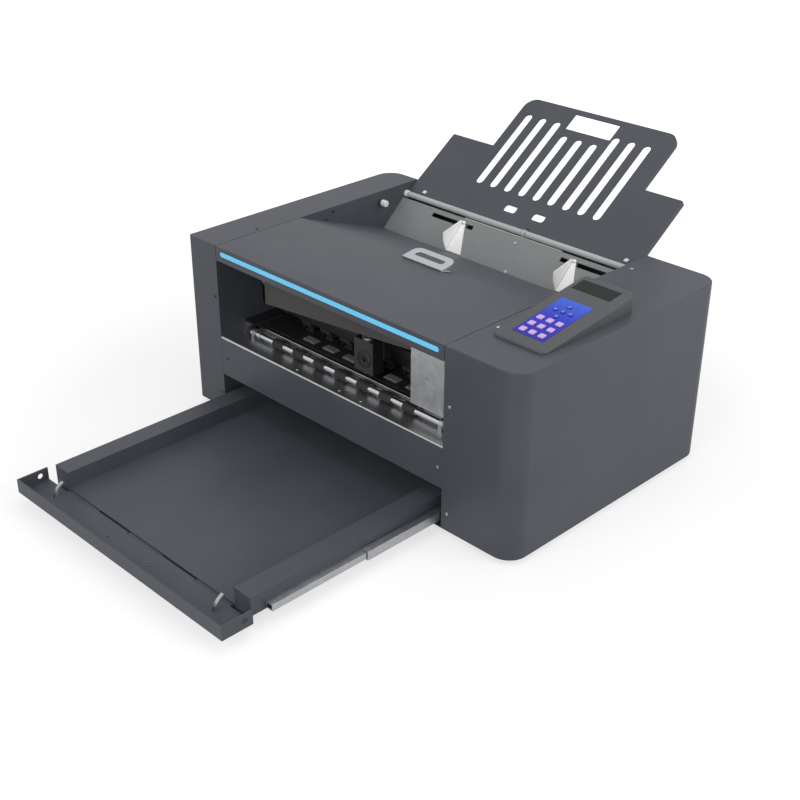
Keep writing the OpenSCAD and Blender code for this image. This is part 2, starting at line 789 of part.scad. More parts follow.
module guide_pinion() {
    half = pitch / 4 - tooth_play / 2;
    wide = half + tan(20) * tooth_root;
    slim = half - tan(20) * tooth_top;
    low = pinion_r - tooth_root;
    tip = pinion_r + tooth_top;
    color(white) placed() on_feed_plate() translate([feed_cx, -slot_v, rack_n0 + clear / 2]) difference() {
        linear_extrude(rack_n1 - rack_n0 - clear) polygon([
            for (i = [0 : pinion_n - 1], p = [[wide, low], [slim, tip], [-slim, tip], [-wide, low]])
                turned(p, 360 / pinion_n * i)]);
        translate([0, 0, -1]) cylinder(r = motor_shaft_r + run, h = 20);
    }
}

module feed_roller() {
    width = 34;
    color(black) placed() {
        bar_x(pick_shaft_r, bay_x0 + clear, bay_x1 - 2, pick_y, pick_z);
        bar_x(motor_shaft_r, bay_x1 - 3, bay_x1 + sheet + motor_reach, pick_y, pick_z);
        for (s = [-1, 0, 1])
            bar_x(pick_r, feed_cx + s * 80 - width / 2, feed_cx + s * 80 + width / 2, pick_y, pick_z);
    }
}

// Paper support and its hinge

module hinge_rod() { color(steel) placed() bar_x(rod_r, bay_x0, bay_x1, hinge_y, hinge_z); }

// White clips hold the rod at both walls, and a grey one at the middle
module hinge_clips() {
    wide = 6;
    color(white) placed()
        for (x = [bay_x0, bay_cx + 20, bay_x1 - wide]) difference() {
            union() {
                bar_x(barrel_r + 1, x, x + wide, hinge_y, hinge_z);
                block([x, hinge_y, shelf_z - sheet], [x + wide, hinge_y + 8, hinge_z]);
            }
            bar_x(rod_r, x - 1, x + wide + 1, hinge_y, hinge_z);
        }
}

// The outline of the support, drawn in from its edges by the given amount
module support_outline(in, low) {
    x0 = bay_x0 + flap_gap + in;
    x1 = bay_x1 - flap_gap - in;
    t0 = bay_cx + 7 - tongue_w / 2 + in;
    t1 = bay_cx + 7 + tongue_w / 2 - in;
    plan(x0, x1, low, flap_d - in, 0, 0, 3, 3);
    plan(t0, t1, flap_d - in - 1, flap_len - in, 0, 0, tongue_r - in, tongue_r - in);
}

module paper_support() {
    vents = 9;
    start = barrel_r + 4;
    window_w = 84;
    color(casing_grey) placed() on_flap() {
        difference() {
            translate([0, 0, -flap_skirt - inside]) linear_extrude(flap_skirt + 2 * inside)
                support_outline(0, start);
            translate([0, 0, -flap_skirt - inside - 1]) linear_extrude(flap_skirt + 1)
                support_outline(sheet, start - 1);
            translate([0, 0, -20]) linear_extrude(40) {
                for (i = [0 : vents - 1])
                    translate([bay_cx + (i - (vents - 1) / 2) * vent_pitch, 0])
                        slot_y(vent_w, 57, (i < 3 || i > 5) ? flap_len - 31 : flap_len - 52);
                translate([feed_cx - 14.5, flap_len - 39])
                    plan(-window_w / 2, window_w / 2, 0, 30, 2, 2, 2, 2);
                for (s = [-1, 1]) translate([bay_cx + s * 27, 0])
                    plan(-11, 11, 25, 37, 4, 4, 4, 4);
            }
        }
        for (x = [[bay_x0 + 7, bay_cx + 19], [bay_cx + 27, bay_x1 - 7]]) difference() {
            union() {
                bar_x(barrel_r, x[0], x[1], 0, 0);
                block([x[0], 0, -inside], [x[1], start + 1, inside]);
            }
            bar_x(rod_r + run, x[0] - 1, x[1] + 1, 0, 0);
        }
    }
}

module support_peg() {
    peg_y = pivot_y + 3;
    peg_z = pivot_z + 44;
    color(white) placed() {
        bar_x(2, bay_x0, bay_x0 + 6, peg_y, peg_z);
        bar_x(5, bay_x0 + 5, bay_x0 + 14, peg_y, peg_z);
    }
}

// Top cover

module cover_profile() {
    s = sin(cover_angle);
    c = cos(cover_angle);
    in = sheet * tan(cover_angle / 2);
    polygon([[0, lip_z], [0, body_h], [bend_y, body_h], [rear_y, rear_z],
        [rear_y - sheet * s, rear_z - sheet * c], [bend_y - in, body_h - sheet],
        [sheet, body_h - sheet], [sheet, lip_z + sheet],
        [bar_top_fold, lip_z + sheet], [bar_top_fold, lip_z]]);
}

module cover_flange() {
    s = sin(cover_angle);
    c = cos(cover_angle);
    in = sheet * tan(cover_angle / 2);
    low = sheet + flange_d;
    back = cover_run - 40;
    polygon([[sheet, body_h - sheet], [bend_y - in, body_h - sheet],
        [rear_y - sheet * s, rear_z - sheet * c], [rear_y - (sheet + 3) * s, rear_z - (sheet + 3) * c],
        [bend_y + back * c - low * s, body_h - back * s - low * c],
        [bend_y - low * tan(cover_angle / 2), body_h - low], [sheet, body_h - low]]);
}

module top_cover() {
    led_z = (lip_z + body_h) / 2 + 1;
    color(casing_grey) placed() difference() {
        union() {
            along_x(cover_x0, cover_x1) cover_profile();
            for (x = [cover_x0, cover_x1 - sheet]) {
                along_x(x, x + sheet) cover_flange();
                bar_x(ear_r, x, x + sheet, pivot_y, pivot_z);
            }
            bar_x(pivot_r, bay_x0 - sheet, cover_x0 + 1, pivot_y, pivot_z);
            bar_x(pivot_r, cover_x1 - 1, bay_x1 + sheet, pivot_y, pivot_z);
        }
        translate([0, sheet + 1, led_z]) rotate([90, 0, 0]) linear_extrude(sheet + 2)
            strip_outline(led_h / 2);
    }
}

// A long strip with round ends across the front lip
module strip_outline(r) {
    x0 = bay_x0 + led_inset + led_h / 2;
    x1 = bay_x1 - led_inset - led_h / 2;
    translate([x0, -r]) square([x1 - x0, 2 * r]);
    for (x = [x0, x1]) translate([x, 0]) circle(r);
}

module led_strip() {
    led_z = (lip_z + body_h) / 2 + 1;
    color([0.38, 0.76, 0.96]) placed()
        translate([0, sheet + 1, led_z]) rotate([90, 0, 0]) linear_extrude(sheet + 1)
            strip_outline(led_h / 2);
}

module cover_handle() {
    foot_t = 2;
    fold = 0.5;
    rear_r = 12;
    cx = feed_cx + 9;
    grip_v = (handle_d - grip_h) / 2 + 1;
    color(steel) placed() on_slope() {
        block([cx - handle_w / 2, fold, 0], [cx + handle_w / 2, handle_foot, foot_t]);
        translate([cx, fold, 0]) rotate([cover_angle + handle_tilt, 0, 0])
            linear_extrude(handle_t) difference() {
                plan(-handle_w / 2, handle_w / 2, 0, handle_d, 0, 0, rear_r, rear_r);
                plan(-grip_w / 2, grip_w / 2, grip_v, grip_v + grip_h, 4, 4, 4, 4);
            }
    }
}

// Tray

module both_sides() {
    children();
    translate([2 * bay_cx, 0, 0]) mirror([1, 0, 0]) children();
}

module tray_pan() {
    top = tray_z + tray_h;
    y1 = tray_y + tray_len;
    lip_z0 = front_z - knuckle_r - 1.6;
    color(casing_grey) placed() {
        block([floor_x0 - sheet, tray_y, tray_z], [floor_x1 + sheet, y1, tray_z + sheet]);
        both_sides() {
            block([floor_x0 - sheet, tray_y, tray_z], [floor_x0, y1, top]);
            block([tray_x0, tray_y, top - sheet], [floor_x0, y1, top]);
            block([tray_x0, tray_y, tray_z], [tray_x0 + sheet, y1, top]);
            block([tray_x0, tray_y, tray_z], [floor_x0, tray_y + sheet, top]);
        }
        block([tray_x0, tray_y, lip_z0], [tray_x1, tray_y + sheet, tray_z + sheet]);
        block([tray_x0, front_y - 4, lip_z0], [tray_x1, tray_y + sheet, lip_z0 + 1]);
        block([floor_x0, y1 - sheet, tray_z], [floor_x1, y1, top]);
        bar_x(knuckle_pin_r, floor_x0 + 2, floor_x1 - 2, front_y, front_z);
        for (i = [0, 2, 4]) {
            x = knuckle_x(i);
            bar_x(knuckle_r, x + clear, x + knuckle_w() - clear, front_y, front_z);
            block([x + clear, front_y, front_z - 1], [x + knuckle_w() - clear, tray_y + 2, tray_z + 0.1]);
        }
    }
}

// Five knuckles share the hinge line: three on the tray and two on its front
function knuckle_w() = (tray_w - 4) / 5;
function knuckle_x(i) = floor_x0 + 2 + i * knuckle_w();

module tray_front() {
    x0 = bay_x0 + front_gap;
    x1 = bay_x1 - front_gap;
    y0 = front_y - front_d;
    y1 = front_y - knuckle_r;
    hole_r = 4;
    stay_r = 22;
    color(casing_grey) placed() {
        difference() {
            union() {
                block([x0, y0, tray_z], [x1, y1, tray_z + sheet]);
                both_sides() block([x0, y0, tray_z], [x0 + sheet, y1, tray_z + front_h]);
                block([x0, y0, tray_z], [x1, y0 + sheet, tray_z + front_h]);
            }
            bar_x(hole_r, x0 - 1, x1 + 1, y1 - 12, tray_z + front_h / 2 + 1);
            for (s = [-1, 1]) bar_z(1.5, tray_z - 1, tray_z + sheet + 1, bay_cx + s * 45, y0 + front_d / 2);
        }
        for (i = [1, 3]) {
            x = knuckle_x(i);
            difference() {
                union() {
                    bar_x(knuckle_r, x + clear, x + knuckle_w() - clear, front_y, front_z);
                    block([x + clear, y1 - 2, front_z + 1.5],
                        [x + knuckle_w() - clear, front_y, tray_z + sheet]);
                }
                bar_x(knuckle_pin_r + run, x - 1, x + knuckle_w() + 1, front_y, front_z);
            }
        }
        both_sides() translate([floor_x0 + 3, front_y, front_z]) rotate([90, 0, 90])
            rotate(110) rotate_extrude(angle = 62.5) translate([stay_r - 1.5, 0]) square([3, 5]);
    }
}

// One C profile of a slide, its open side facing the tray, between two x values
module slide_profile(x0, x1, z0, z1, y0, y1) {
    block([x0, y0, z0], [x0 + slide_wall, y1, z1]);
    block([x0, y0, z0], [x1, y1, z0 + slide_wall]);
    block([x0, y0, z1 - slide_wall], [x1, y1, z1]);
}

module slide_outer() {
    color(steel) placed() both_sides()
        slide_profile(bay_x0, bay_x0 + slide_t, slide_z, slide_z + slide_h, slide_y0, slide_y0 + slide_len);
}

module slide_mid() {
    in = slide_wall + slide_gap;
    y0 = slide_y0 + 1 - tray_travel / 2;
    color(steel) placed() both_sides()
        slide_profile(bay_x0 + in, bay_x0 + slide_t, slide_z + in, slide_z + slide_h - in,
            y0, y0 + slide_len - 2);
}

module slide_inner() {
    in = 2 * (slide_wall + slide_gap);
    y0 = tray_y + slide_y0;
    color(steel) placed() both_sides() difference() {
        block([bay_x0 + in, y0, slide_z + in], [tray_x0, y0 + slide_len - 8, slide_z + slide_h - in]);
        block([bay_x0 + in + slide_wall, y0 - 1, slide_z + in + slide_wall],
            [tray_x0 - slide_wall, y0 + slide_len, slide_z + slide_h - in - slide_wall]);
    }
}

// Electrics

module power_supply() {
    color(steel) placed() difference() {
        block([bay_x1 + 10, body_d - 178, sheet], [body_w - 20, body_d - 48, 45]);
        for (i = [0 : 9]) translate([0, body_d - 168 + i * 12, 0])
            block([bay_x1 + 20, 0, 41], [body_w - 30, 5, 46]);
    }
}

module mainboard() {
    x1 = body_w - sheet;
    stand = 12;
    color([0.10, 0.30, 0.18]) placed() {
        block([x1 - stand - 1.6, 70, 60], [x1 - stand, 215, 200]);
        for (y = [78, 207], z = [68, 192]) bar_x(3, x1 - stand, x1, y, z);
        block([x1 - stand - 9, 120, 110], [x1 - stand - 1.6, 150, 140]);
        block([x1 - stand - 13, 160, 70], [x1 - stand - 1.6, 200, 82]);
    }
}

module power_inlet() {
    lip = 8;
    deep = 22;
    bezel = 3;
    color(black) placed() {
        difference() {
            union() {
                block([inlet_x - inlet_w / 2 - lip, body_d, inlet_z - inlet_h / 2 - 2],
                    [inlet_x + inlet_w / 2 + lip, body_d + 2, inlet_z + inlet_h / 2 + 2]);
                block([inlet_x - inlet_w / 2, body_d - deep, inlet_z - inlet_h / 2],
                    [inlet_x + inlet_w / 2, body_d, inlet_z + inlet_h / 2]);
            }
            block([inlet_x - inlet_w / 2 + 2, body_d - deep + 3, inlet_z - inlet_h / 2 + 3],
                [inlet_x + inlet_w / 2 - 2, body_d + 3, inlet_z + inlet_h / 2 - 3]);
        }
        for (p = [[-7, -2], [0, 3], [7, -2]])
            block([inlet_x + p[0] - 1, body_d - deep + 3, inlet_z + p[1] - 3],
                [inlet_x + p[0] + 1, body_d - 3, inlet_z + p[1] + 3]);
        difference() {
            union() {
                block([switch_x - switch_w / 2 - bezel, body_d, inlet_z - switch_h / 2 - bezel],
                    [switch_x + switch_w / 2 + bezel, body_d + 2, inlet_z + switch_h / 2 + bezel]);
                block([switch_x - switch_w / 2, body_d - 14, inlet_z - switch_h / 2],
                    [switch_x + switch_w / 2, body_d, inlet_z + switch_h / 2]);
            }
            block([switch_x - switch_w / 2 + 1, body_d - 12, inlet_z - switch_h / 2 + 1],
                [switch_x + switch_w / 2 - 1, body_d + 3, inlet_z + switch_h / 2 - 1]);
            bar_x(1 + run, switch_x - switch_w / 2 - 1, switch_x + switch_w / 2 + 1, body_d - 3, inlet_z);
        }
    }
}

module rocker_switch() {
    half_w = switch_w / 2 - 1 - clear;
    half_h = switch_h / 2 - 1 - 2.5 * clear;
    color(black) placed() translate([switch_x, body_d - 3, inlet_z]) rotate([rocker_tilt, 0, 0]) {
        block([-half_w, -2, -half_h], [half_w, 5, half_h]);
        bar_x(1, -switch_w / 2, switch_w / 2, 0, 0);
    }
}

// Control pod

module pod_block(in, drop) {
    intersection() {
        translate([0, 0, body_h - drop]) linear_extrude(pod_rear_h * 2)
            plan(pod_cx - pod_w / 2 + in, pod_cx + pod_w / 2 - in, pod_y + in, pod_y + pod_len - in,
                pod_r - in, pod_r - in, pod_r - in, pod_r - in);
        along_x(pod_cx - pod_w, pod_cx + pod_w)
            polygon([[pod_y, body_h - drop], [pod_y, body_h + pod_front_h - in],
                [pod_y + pod_len, body_h + pod_rear_h - in], [pod_y + pod_len, body_h - drop]]);
    }
}

module control_pod() {
    ledge = 2;
    color(casing_grey) placed() difference() {
        pod_block(0, 0);
        pod_block(pod_wall, 1);
        on_pod() {
            block([-plate_w / 2, keypad_s0, plate_proud - plate_t], [plate_w / 2, keypad_s0 + keypad_len, 5]);
            block([-plate_w / 2 + ledge, keypad_s0 + ledge, -5],
                [plate_w / 2 - ledge, keypad_s0 + keypad_len - ledge, 5]);
            block([-lcd_w / 2, lcd_s0, -1.5], [lcd_w / 2, lcd_s0 + lcd_len, 5]);
            block([-lcd_w / 2 + ledge, lcd_s0 + ledge, -5], [lcd_w / 2 - ledge, lcd_s0 + lcd_len - ledge, 5]);
        }
    }
}

module lcd_window() {
    color([0.16, 0.18, 0.18]) placed() on_pod()
        block([-lcd_w / 2, lcd_s0, -1.5], [lcd_w / 2, lcd_s0 + lcd_len, 0]);
}

// Places of the square keys, counted from the back left, and of the round keys
function key_place(i) = [(i % 3 - 1) * key_px, key_s0 + (2 - floor(i / 3)) * key_py];
nav_places = [[0, 2], [-1, 1], [0, 1], [1, 1], [0, 0]];
function nav_place(i) = [nav_places[i][0] * nav_px, nav_s0 + nav_places[i][1] * nav_py];

module keypad_plate() {
    hole = key_w / 2 + key_gap;
    color([0.16, 0.22, 0.85]) placed() on_pod() difference() {
        block([-plate_w / 2, keypad_s0, plate_proud - plate_t],
            [plate_w / 2, keypad_s0 + keypad_len, plate_proud]);
        for (i = [0 : 8]) translate(concat(key_place(i), -5)) linear_extrude(10)
            plan(-hole, hole, -hole, hole, 1, 1, 1, 1);
        for (i = [0 : 4]) translate(concat(nav_place(i), -5)) cylinder(r = nav_r + key_gap, h = 10);
    }
}

// A key with a lip that keeps it under the plate
module square_key(i) {
    half = key_w / 2;
    low = plate_proud - plate_t - key_gap;
    color([0.93, 0.86, 0.95]) placed() on_pod() translate(concat(key_place(i), 0)) {
        translate([0, 0, low - 0.5]) linear_extrude(1.2 + 0.5 - low)
            plan(-half, half, -half, half, 1, 1, 1, 1);
        block([-half - key_lip, -half - key_lip, low - 1], [half + key_lip, half + key_lip, low]);
    }
}

module round_key(i) {
    low = plate_proud - plate_t - key_gap;
    color([0.25, 0.42, 0.95]) placed() on_pod() translate(concat(nav_place(i), 0)) {
        translate([0, 0, low - 0.5]) cylinder(r = nav_r, h = 1.4 + 0.5 - low);
        translate([0, 0, low - 1]) cylinder(r = nav_r + key_lip, h = 1);
    }
}

module key_1() { square_key(0); }
module key_2() { square_key(1); }
module key_3() { square_key(2); }
module key_4() { square_key(3); }
module key_5() { square_key(4); }
module key_6() { square_key(5); }
module key_7() { square_key(6); }
module key_8() { square_key(7); }
module key_9() { square_key(8); }
module nav_up() { round_key(0); }
module nav_left() { round_key(1); }
module nav_ok() { round_key(2); }
module nav_right() { round_key(3); }
module nav_down() { round_key(4); }

// Screws

// A low round head standing on a face, its axis along Z
module head(r) { cylinder(r = r, h = 1); }

module panel_screws() {
    r = 2.5;
    fx = [bay_x0 - 8, bay_x1 + 10];
    color(steel) placed() {
        for (x = fx, z = [26, 180]) translate([x, 0, z]) rotate([90, 0, 0]) head(r);
        for (x = [bay_x0 + 11, bay_x1 - 8])
            translate([x, 0, (bar_z0 + bar_z1) / 2]) rotate([90, 0, 0]) head(r);
        for (x = [bay_x0 - 9, bay_x1 + 11]) translate([x, 83, body_h]) head(r);
        for (p = [[222, body_h - 7], [208, body_h - 17]])
            translate([bay_x0, p[0], p[1]]) rotate([0, 90, 0]) cylinder(r = r, h = cover_gap - clear);
        for (x = [-87, -1, 41]) translate([feed_cx + x, 13, bar_z1 + chute_t]) head(r - 0.5);
        on_feed_plate() {
            translate([feed_cx, -slot_v, 0]) head(r);
            translate([feed_cx + 12, -65, 0]) head(r);
        }
    }
}

base_pan();
rubber_feet();
left_cover();
right_cover();
rear_panel();
front_bar();
chute_plate();
platen_deck();
gantry_beam();
end_plate();
shaft_bearings();
stepper_motors();
feed_plate();
timing_belts();
pinch_arms();
hinge_rod();
hinge_clips();
support_peg();
slide_outer();
power_supply();
mainboard();
power_inlet();
control_pod();
lcd_window();
keypad_plate();
panel_screws();
top_cover();
cover_handle();
led_strip();
paper_support();
tray_pan();
slide_inner();
slide_mid();
tray_front();
guide_left();
guide_right();
guide_pinion();
delivery_shaft();
drive_shaft();
pinch_rollers();
feed_roller();
carriage();
blade_holder();
drive_pulley();
idler_pulley();
rocker_switch();
key_1();
key_2();
key_3();
key_4();
key_5();
key_6();
key_7();
key_8();
key_9();
nav_up();
nav_left();
nav_ok();
nav_right();
nav_down();
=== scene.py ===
# %% [markdown]
# # A sticker cutting machine, from solids to a studio picture
# The solids were drawn in a CAD program and packed as one model with named pieces that move.
# This lesson loads that model as a fixed frame, gives every piece rounded edges and a real finish,
# adds the small things that solids leave out, and lights it on a white floor.

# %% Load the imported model
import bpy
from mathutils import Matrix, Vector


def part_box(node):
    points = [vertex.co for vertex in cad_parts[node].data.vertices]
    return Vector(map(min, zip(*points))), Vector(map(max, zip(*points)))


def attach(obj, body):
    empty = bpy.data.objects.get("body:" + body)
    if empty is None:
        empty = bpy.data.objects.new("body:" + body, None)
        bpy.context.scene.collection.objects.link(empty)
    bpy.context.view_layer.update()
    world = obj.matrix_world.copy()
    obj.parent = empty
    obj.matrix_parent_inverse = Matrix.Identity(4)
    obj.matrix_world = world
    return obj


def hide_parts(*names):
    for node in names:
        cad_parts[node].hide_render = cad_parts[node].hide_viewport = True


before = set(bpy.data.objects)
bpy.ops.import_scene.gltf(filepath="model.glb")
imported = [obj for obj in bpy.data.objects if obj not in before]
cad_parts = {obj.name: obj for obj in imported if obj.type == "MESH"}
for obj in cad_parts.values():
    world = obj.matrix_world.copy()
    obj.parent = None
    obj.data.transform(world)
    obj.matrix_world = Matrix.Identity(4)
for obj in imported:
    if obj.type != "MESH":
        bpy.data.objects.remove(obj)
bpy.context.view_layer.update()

# %% [markdown]
# ## Where things are
# Every drawing of this machine counts from one corner: the front left corner of its base plate, in
# millimetres. Blender counts in metres from the middle of the floor. One small function turns the first
# into the second, and another turns it back, so that each number below can be read straight off the
# machine. Axes and faces that the frame knows are taken from its boxes.

# %% Millimetres from the casing corner
import math
import bmesh
import bpy
from mathutils import Matrix, Vector

MM = 0.001
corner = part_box("base_pan")[0]


def at(x, y, z):
    return corner + Vector((x, y, z)) * MM


def drawn(point):
    return (point - corner) / MM


def middle_of(node):
    low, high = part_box(node)
    return drawn((low + high) / 2)


print("casing corner in the frame, mm:", [round(1000 * c, 1) for c in corner])

# %% [markdown]
# ## Colour and nodes
# Colours are written as the hex values a screen shows. Shaders work in linear light, so one function
# undoes the screen curve. A second one adds a shader node, sets it up and links it, which keeps each
# finish below down to the lines that matter.

# %% Helpers for finishes


def linear(hex_colour):
    parts = [int(hex_colour[i : i + 2], 16) / 255 for i in (1, 3, 5)]
    return [c / 12.92 if c <= 0.04045 else ((c + 0.055) / 1.055) ** 2.4 for c in parts] + [1.0]


def add(tree, kind, inputs=(), **settings):
    node = tree.nodes.new(kind)
    for name, value in settings.items():
        setattr(node, name, value)
    for name, value in dict(inputs).items():
        if isinstance(value, bpy.types.NodeSocket):
            tree.links.new(value, node.inputs[name])
        else:
            node.inputs[name].default_value = value
    return node


def finish(name, **sockets):
    material = bpy.data.materials.new(name)
    material.use_nodes = True
    tree = material.node_tree
    shader = tree.nodes["Principled BSDF"]
    for socket, value in sockets.items():
        shader.inputs[socket.replace("_", " ")].default_value = value
    place = add(tree, "ShaderNodeTexCoord").outputs["Object"]
    return material, tree, shader, place


def per_mm(size):
    return 1 / (size * MM)


print("helpers ready, a 2 mm pattern has scale", per_mm(2))

# %% [markdown]
# ## Powder coat
# The casing is folded steel, sprayed with slate grey powder and baked. The powder melts into a skin
# with a very fine orange peel, so the eye sees a satin sheen that breaks up a little, and the colour
# drifts by a shade over a hand's width. Two noise patterns do this: a large one for colour and a small
# one for bumps. The real peel is about 0.7 mm wide; it is drawn at 1.6 mm so that it shows.

# %% Slate powder coat


def powder_coat(name, dark, light, rough):
    material, tree, shader, place = finish(name, IOR=1.37)
    drift = add(tree, "ShaderNodeTexNoise", {"Vector": place, "Scale": per_mm(90), "Detail": 3.0})
    shade = add(tree, "ShaderNodeValToRGB", {"Fac": drift.outputs["Fac"]})
    shade.color_ramp.elements[0].color, shade.color_ramp.elements[0].position = linear(dark), 0.3
    shade.color_ramp.elements[1].color, shade.color_ramp.elements[1].position = linear(light), 0.7
    peel = add(tree, "ShaderNodeTexNoise", {"Vector": place, "Scale": per_mm(1.6), "Detail": 2.0})
    sheen = add(tree, "ShaderNodeMapRange", {"Value": peel.outputs["Fac"], "To Min": rough - 0.05,
                "To Max": rough + 0.05})
    bump = add(tree, "ShaderNodeBump", {"Height": peel.outputs["Fac"], "Strength": 0.16,
               "Distance": 0.3 * MM})
    tree.links.new(shade.outputs["Color"], shader.inputs["Base Color"])
    tree.links.new(sheen.outputs["Result"], shader.inputs["Roughness"])
    tree.links.new(bump.outputs["Normal"], shader.inputs["Normal"])
    return material


slate = powder_coat("slate_powder_coat", "#474A51", "#4D5057", 0.5)
print("made", slate.name)

# %% [markdown]
# ## Stove enamel
# The sheet feed has smoother paint: a grey plate, white guides and a pale grey hinge. It is sprayed wet
# and flows out flat, so it has a faint long wave instead of a peel: the pattern is coarser than the
# powder coat's, and its bump is weaker.

# %% Grey and white enamel


def enamel(name, colour, shade_colour, rough):
    material, tree, shader, place = finish(name, IOR=1.5)
    wave = add(tree, "ShaderNodeTexNoise", {"Vector": place, "Scale": per_mm(14), "Detail": 2.0})
    tone = add(tree, "ShaderNodeMix", {"Factor": wave.outputs["Fac"]}, data_type="RGBA")
    tone.inputs["A"].default_value, tone.inputs["B"].default_value = linear(colour), linear(shade_colour)
    polish = add(tree, "ShaderNodeMapRange", {"Value": wave.outputs["Fac"], "To Min": rough - 0.04,
                 "To Max": rough + 0.06})
    bump = add(tree, "ShaderNodeBump", {"Height": wave.outputs["Fac"], "Strength": 0.05,
               "Distance": 0.6 * MM})
    tree.links.new(tone.outputs["Result"], shader.inputs["Base Color"])
    tree.links.new(polish.outputs["Result"], shader.inputs["Roughness"])
    tree.links.new(bump.outputs["Normal"], shader.inputs["Normal"])
    return material


feed_grey = enamel("grey_stove_enamel", "#868889", "#7F8182", 0.42)
guide_white = enamel("white_stove_enamel", "#FCFCFB", "#F9F9F8", 0.35)
barrel_grey = enamel("pale_grey_enamel", "#BCBEBF", "#B5B7B8", 0.38)
print("made", feed_grey.name, guide_white.name, barrel_grey.name)

# %% [markdown]
# ## Bare metals
# Hard chrome on the shafts is smooth with a faint grinding line round the bar. Brushed aluminium on
# the handle has long fine scratches. Polished stainless lines the chute, its front edge is bright rolled
# steel, and the pins of the mains inlet are tinned brass. Zinc on brackets and slides is dull, with
# crystals about 7 mm wide that reflect a little differently, and the end plate is a brighter zinc. All
# are metallic, so the colour is the colour of the reflection.

# %% Brushed and polished metal


def brushed(name, colour, rough, stretch, line_mm, depth):
    material, tree, shader, place = finish(name, Metallic=1.0)
    run = add(tree, "ShaderNodeMapping", {"Vector": place, "Scale": stretch})
    lines = add(tree, "ShaderNodeTexNoise", {"Vector": run.outputs["Vector"], "Scale": per_mm(line_mm),
                "Detail": 4.0, "Roughness": 0.7})
    shader.inputs["Base Color"].default_value = linear(colour)
    dull = add(tree, "ShaderNodeMapRange", {"Value": lines.outputs["Fac"], "To Min": rough - 0.08,
               "To Max": rough + 0.10})
    bump = add(tree, "ShaderNodeBump", {"Height": lines.outputs["Fac"], "Strength": depth,
               "Distance": 0.1 * MM})
    tree.links.new(dull.outputs["Result"], shader.inputs["Roughness"])
    tree.links.new(bump.outputs["Normal"], shader.inputs["Normal"])
    return material


aluminium = brushed("brushed_aluminium", "#B0B1B4", 0.48, (0.04, 1.0, 1.0), 0.9, 0.35)
chrome = brushed("ground_hard_chrome", "#C2C3C5", 0.2, (1.0, 0.08, 0.08), 0.8, 0.06)
stainless = brushed("polished_stainless", "#C2C3C5", 0.34, (0.03, 1.0, 1.0), 1.0, 0.12)
bright_edge = brushed("bright_rolled_steel", "#B4B5B7", 0.36, (0.03, 1.0, 1.0), 1.0, 0.10)
brass = brushed("tinned_brass", "#B9A878", 0.34, (1.0, 0.1, 1.0), 0.6, 0.05)
print("made", aluminium.name, chrome.name, stainless.name, bright_edge.name, brass.name)

# %% Zinc plate with its crystals


def zinc_plate(name, dark, light, rough):
    material, tree, shader, place = finish(name, Metallic=1.0)
    crystal = add(tree, "ShaderNodeTexVoronoi", {"Vector": place, "Scale": per_mm(7)})
    flake = add(tree, "ShaderNodeValToRGB", {"Fac": crystal.outputs["Color"]})
    flake.color_ramp.elements[0].color, flake.color_ramp.elements[1].color = linear(dark), linear(light)
    grade = add(tree, "ShaderNodeMapRange", {"Value": crystal.outputs["Color"], "To Min": rough,
                "To Max": rough + 0.07})
    tree.links.new(flake.outputs["Color"], shader.inputs["Base Color"])
    tree.links.new(grade.outputs["Result"], shader.inputs["Roughness"])
    return material


zinc = zinc_plate("zinc_plated_steel", "#A0A1A4", "#AAABAE", 0.38)
galvanised = zinc_plate("bright_galvanised_steel", "#B8B9BA", "#C2C3C4", 0.42)
print("made", zinc.name, galvanised.name)

# %% [markdown]
# ## Rubber and moulded plastic
# Grips, rollers, belts and feet are black rubber, ground to size, so they are dull and slightly
# powdery. Moulded parts are ABS or nylon with a spark-eroded texture from the mould. One recipe with
# a fine grain covers them and the lacquer of the motors: only colour, grain and gloss change.

# %% Grained rubber and plastics


def moulded(name, colour, worn, rough, grain_mm, depth, ior=1.5):
    material, tree, shader, place = finish(name, IOR=ior)
    grain = add(tree, "ShaderNodeTexNoise", {"Vector": place, "Scale": per_mm(grain_mm), "Detail": 3.0})
    tone = add(tree, "ShaderNodeMix", {"Factor": grain.outputs["Fac"]}, data_type="RGBA")
    tone.inputs["A"].default_value, tone.inputs["B"].default_value = linear(colour), linear(worn)
    gloss = add(tree, "ShaderNodeMapRange", {"Value": grain.outputs["Fac"], "To Min": rough - 0.06,
                "To Max": rough + 0.06})
    bump = add(tree, "ShaderNodeBump", {"Height": grain.outputs["Fac"], "Strength": depth,
               "Distance": 0.2 * MM})
    tree.links.new(tone.outputs["Result"], shader.inputs["Base Color"])
    tree.links.new(gloss.outputs["Result"], shader.inputs["Roughness"])
    tree.links.new(bump.outputs["Normal"], shader.inputs["Normal"])
    return material


rubber = moulded("ground_black_rubber", "#151516", "#1F1F20", 0.72, 0.9, 0.35)
black_abs = moulded("black_moulded_abs", "#1B1B1D", "#232325", 0.45, 1.1, 0.25)
grey_abs = moulded("grey_moulded_abs", "#424448", "#47494D", 0.55, 1.0, 0.18)
nylon = moulded("white_nylon", "#ECECE8", "#E4E4E0", 0.42, 1.4, 0.12, 1.53)
lacquer = moulded("black_motor_lacquer", "#161617", "#1C1C1E", 0.38, 2.0, 0.1)
print("made", rubber.name, black_abs.name, grey_abs.name, nylon.name, lacquer.name)

# %% [markdown]
# ## Anodised gantry
# The beam is aluminium, drawn through a die and anodised. Fine lines run along it, and the dyed oxide
# layer makes a brown-black that still reflects like metal. The sheet in front of the beam has a brown
# powder coat.

# %% Black anodised aluminium and brown powder coat
anodised = brushed("black_anodised_aluminium", "#3A3838", 0.42, (0.05, 1.0, 1.0), 1.2, 0.2)
umber = powder_coat("umber_powder_coat", "#474443", "#4B4847", 0.6)
print("made", anodised.name, umber.name)

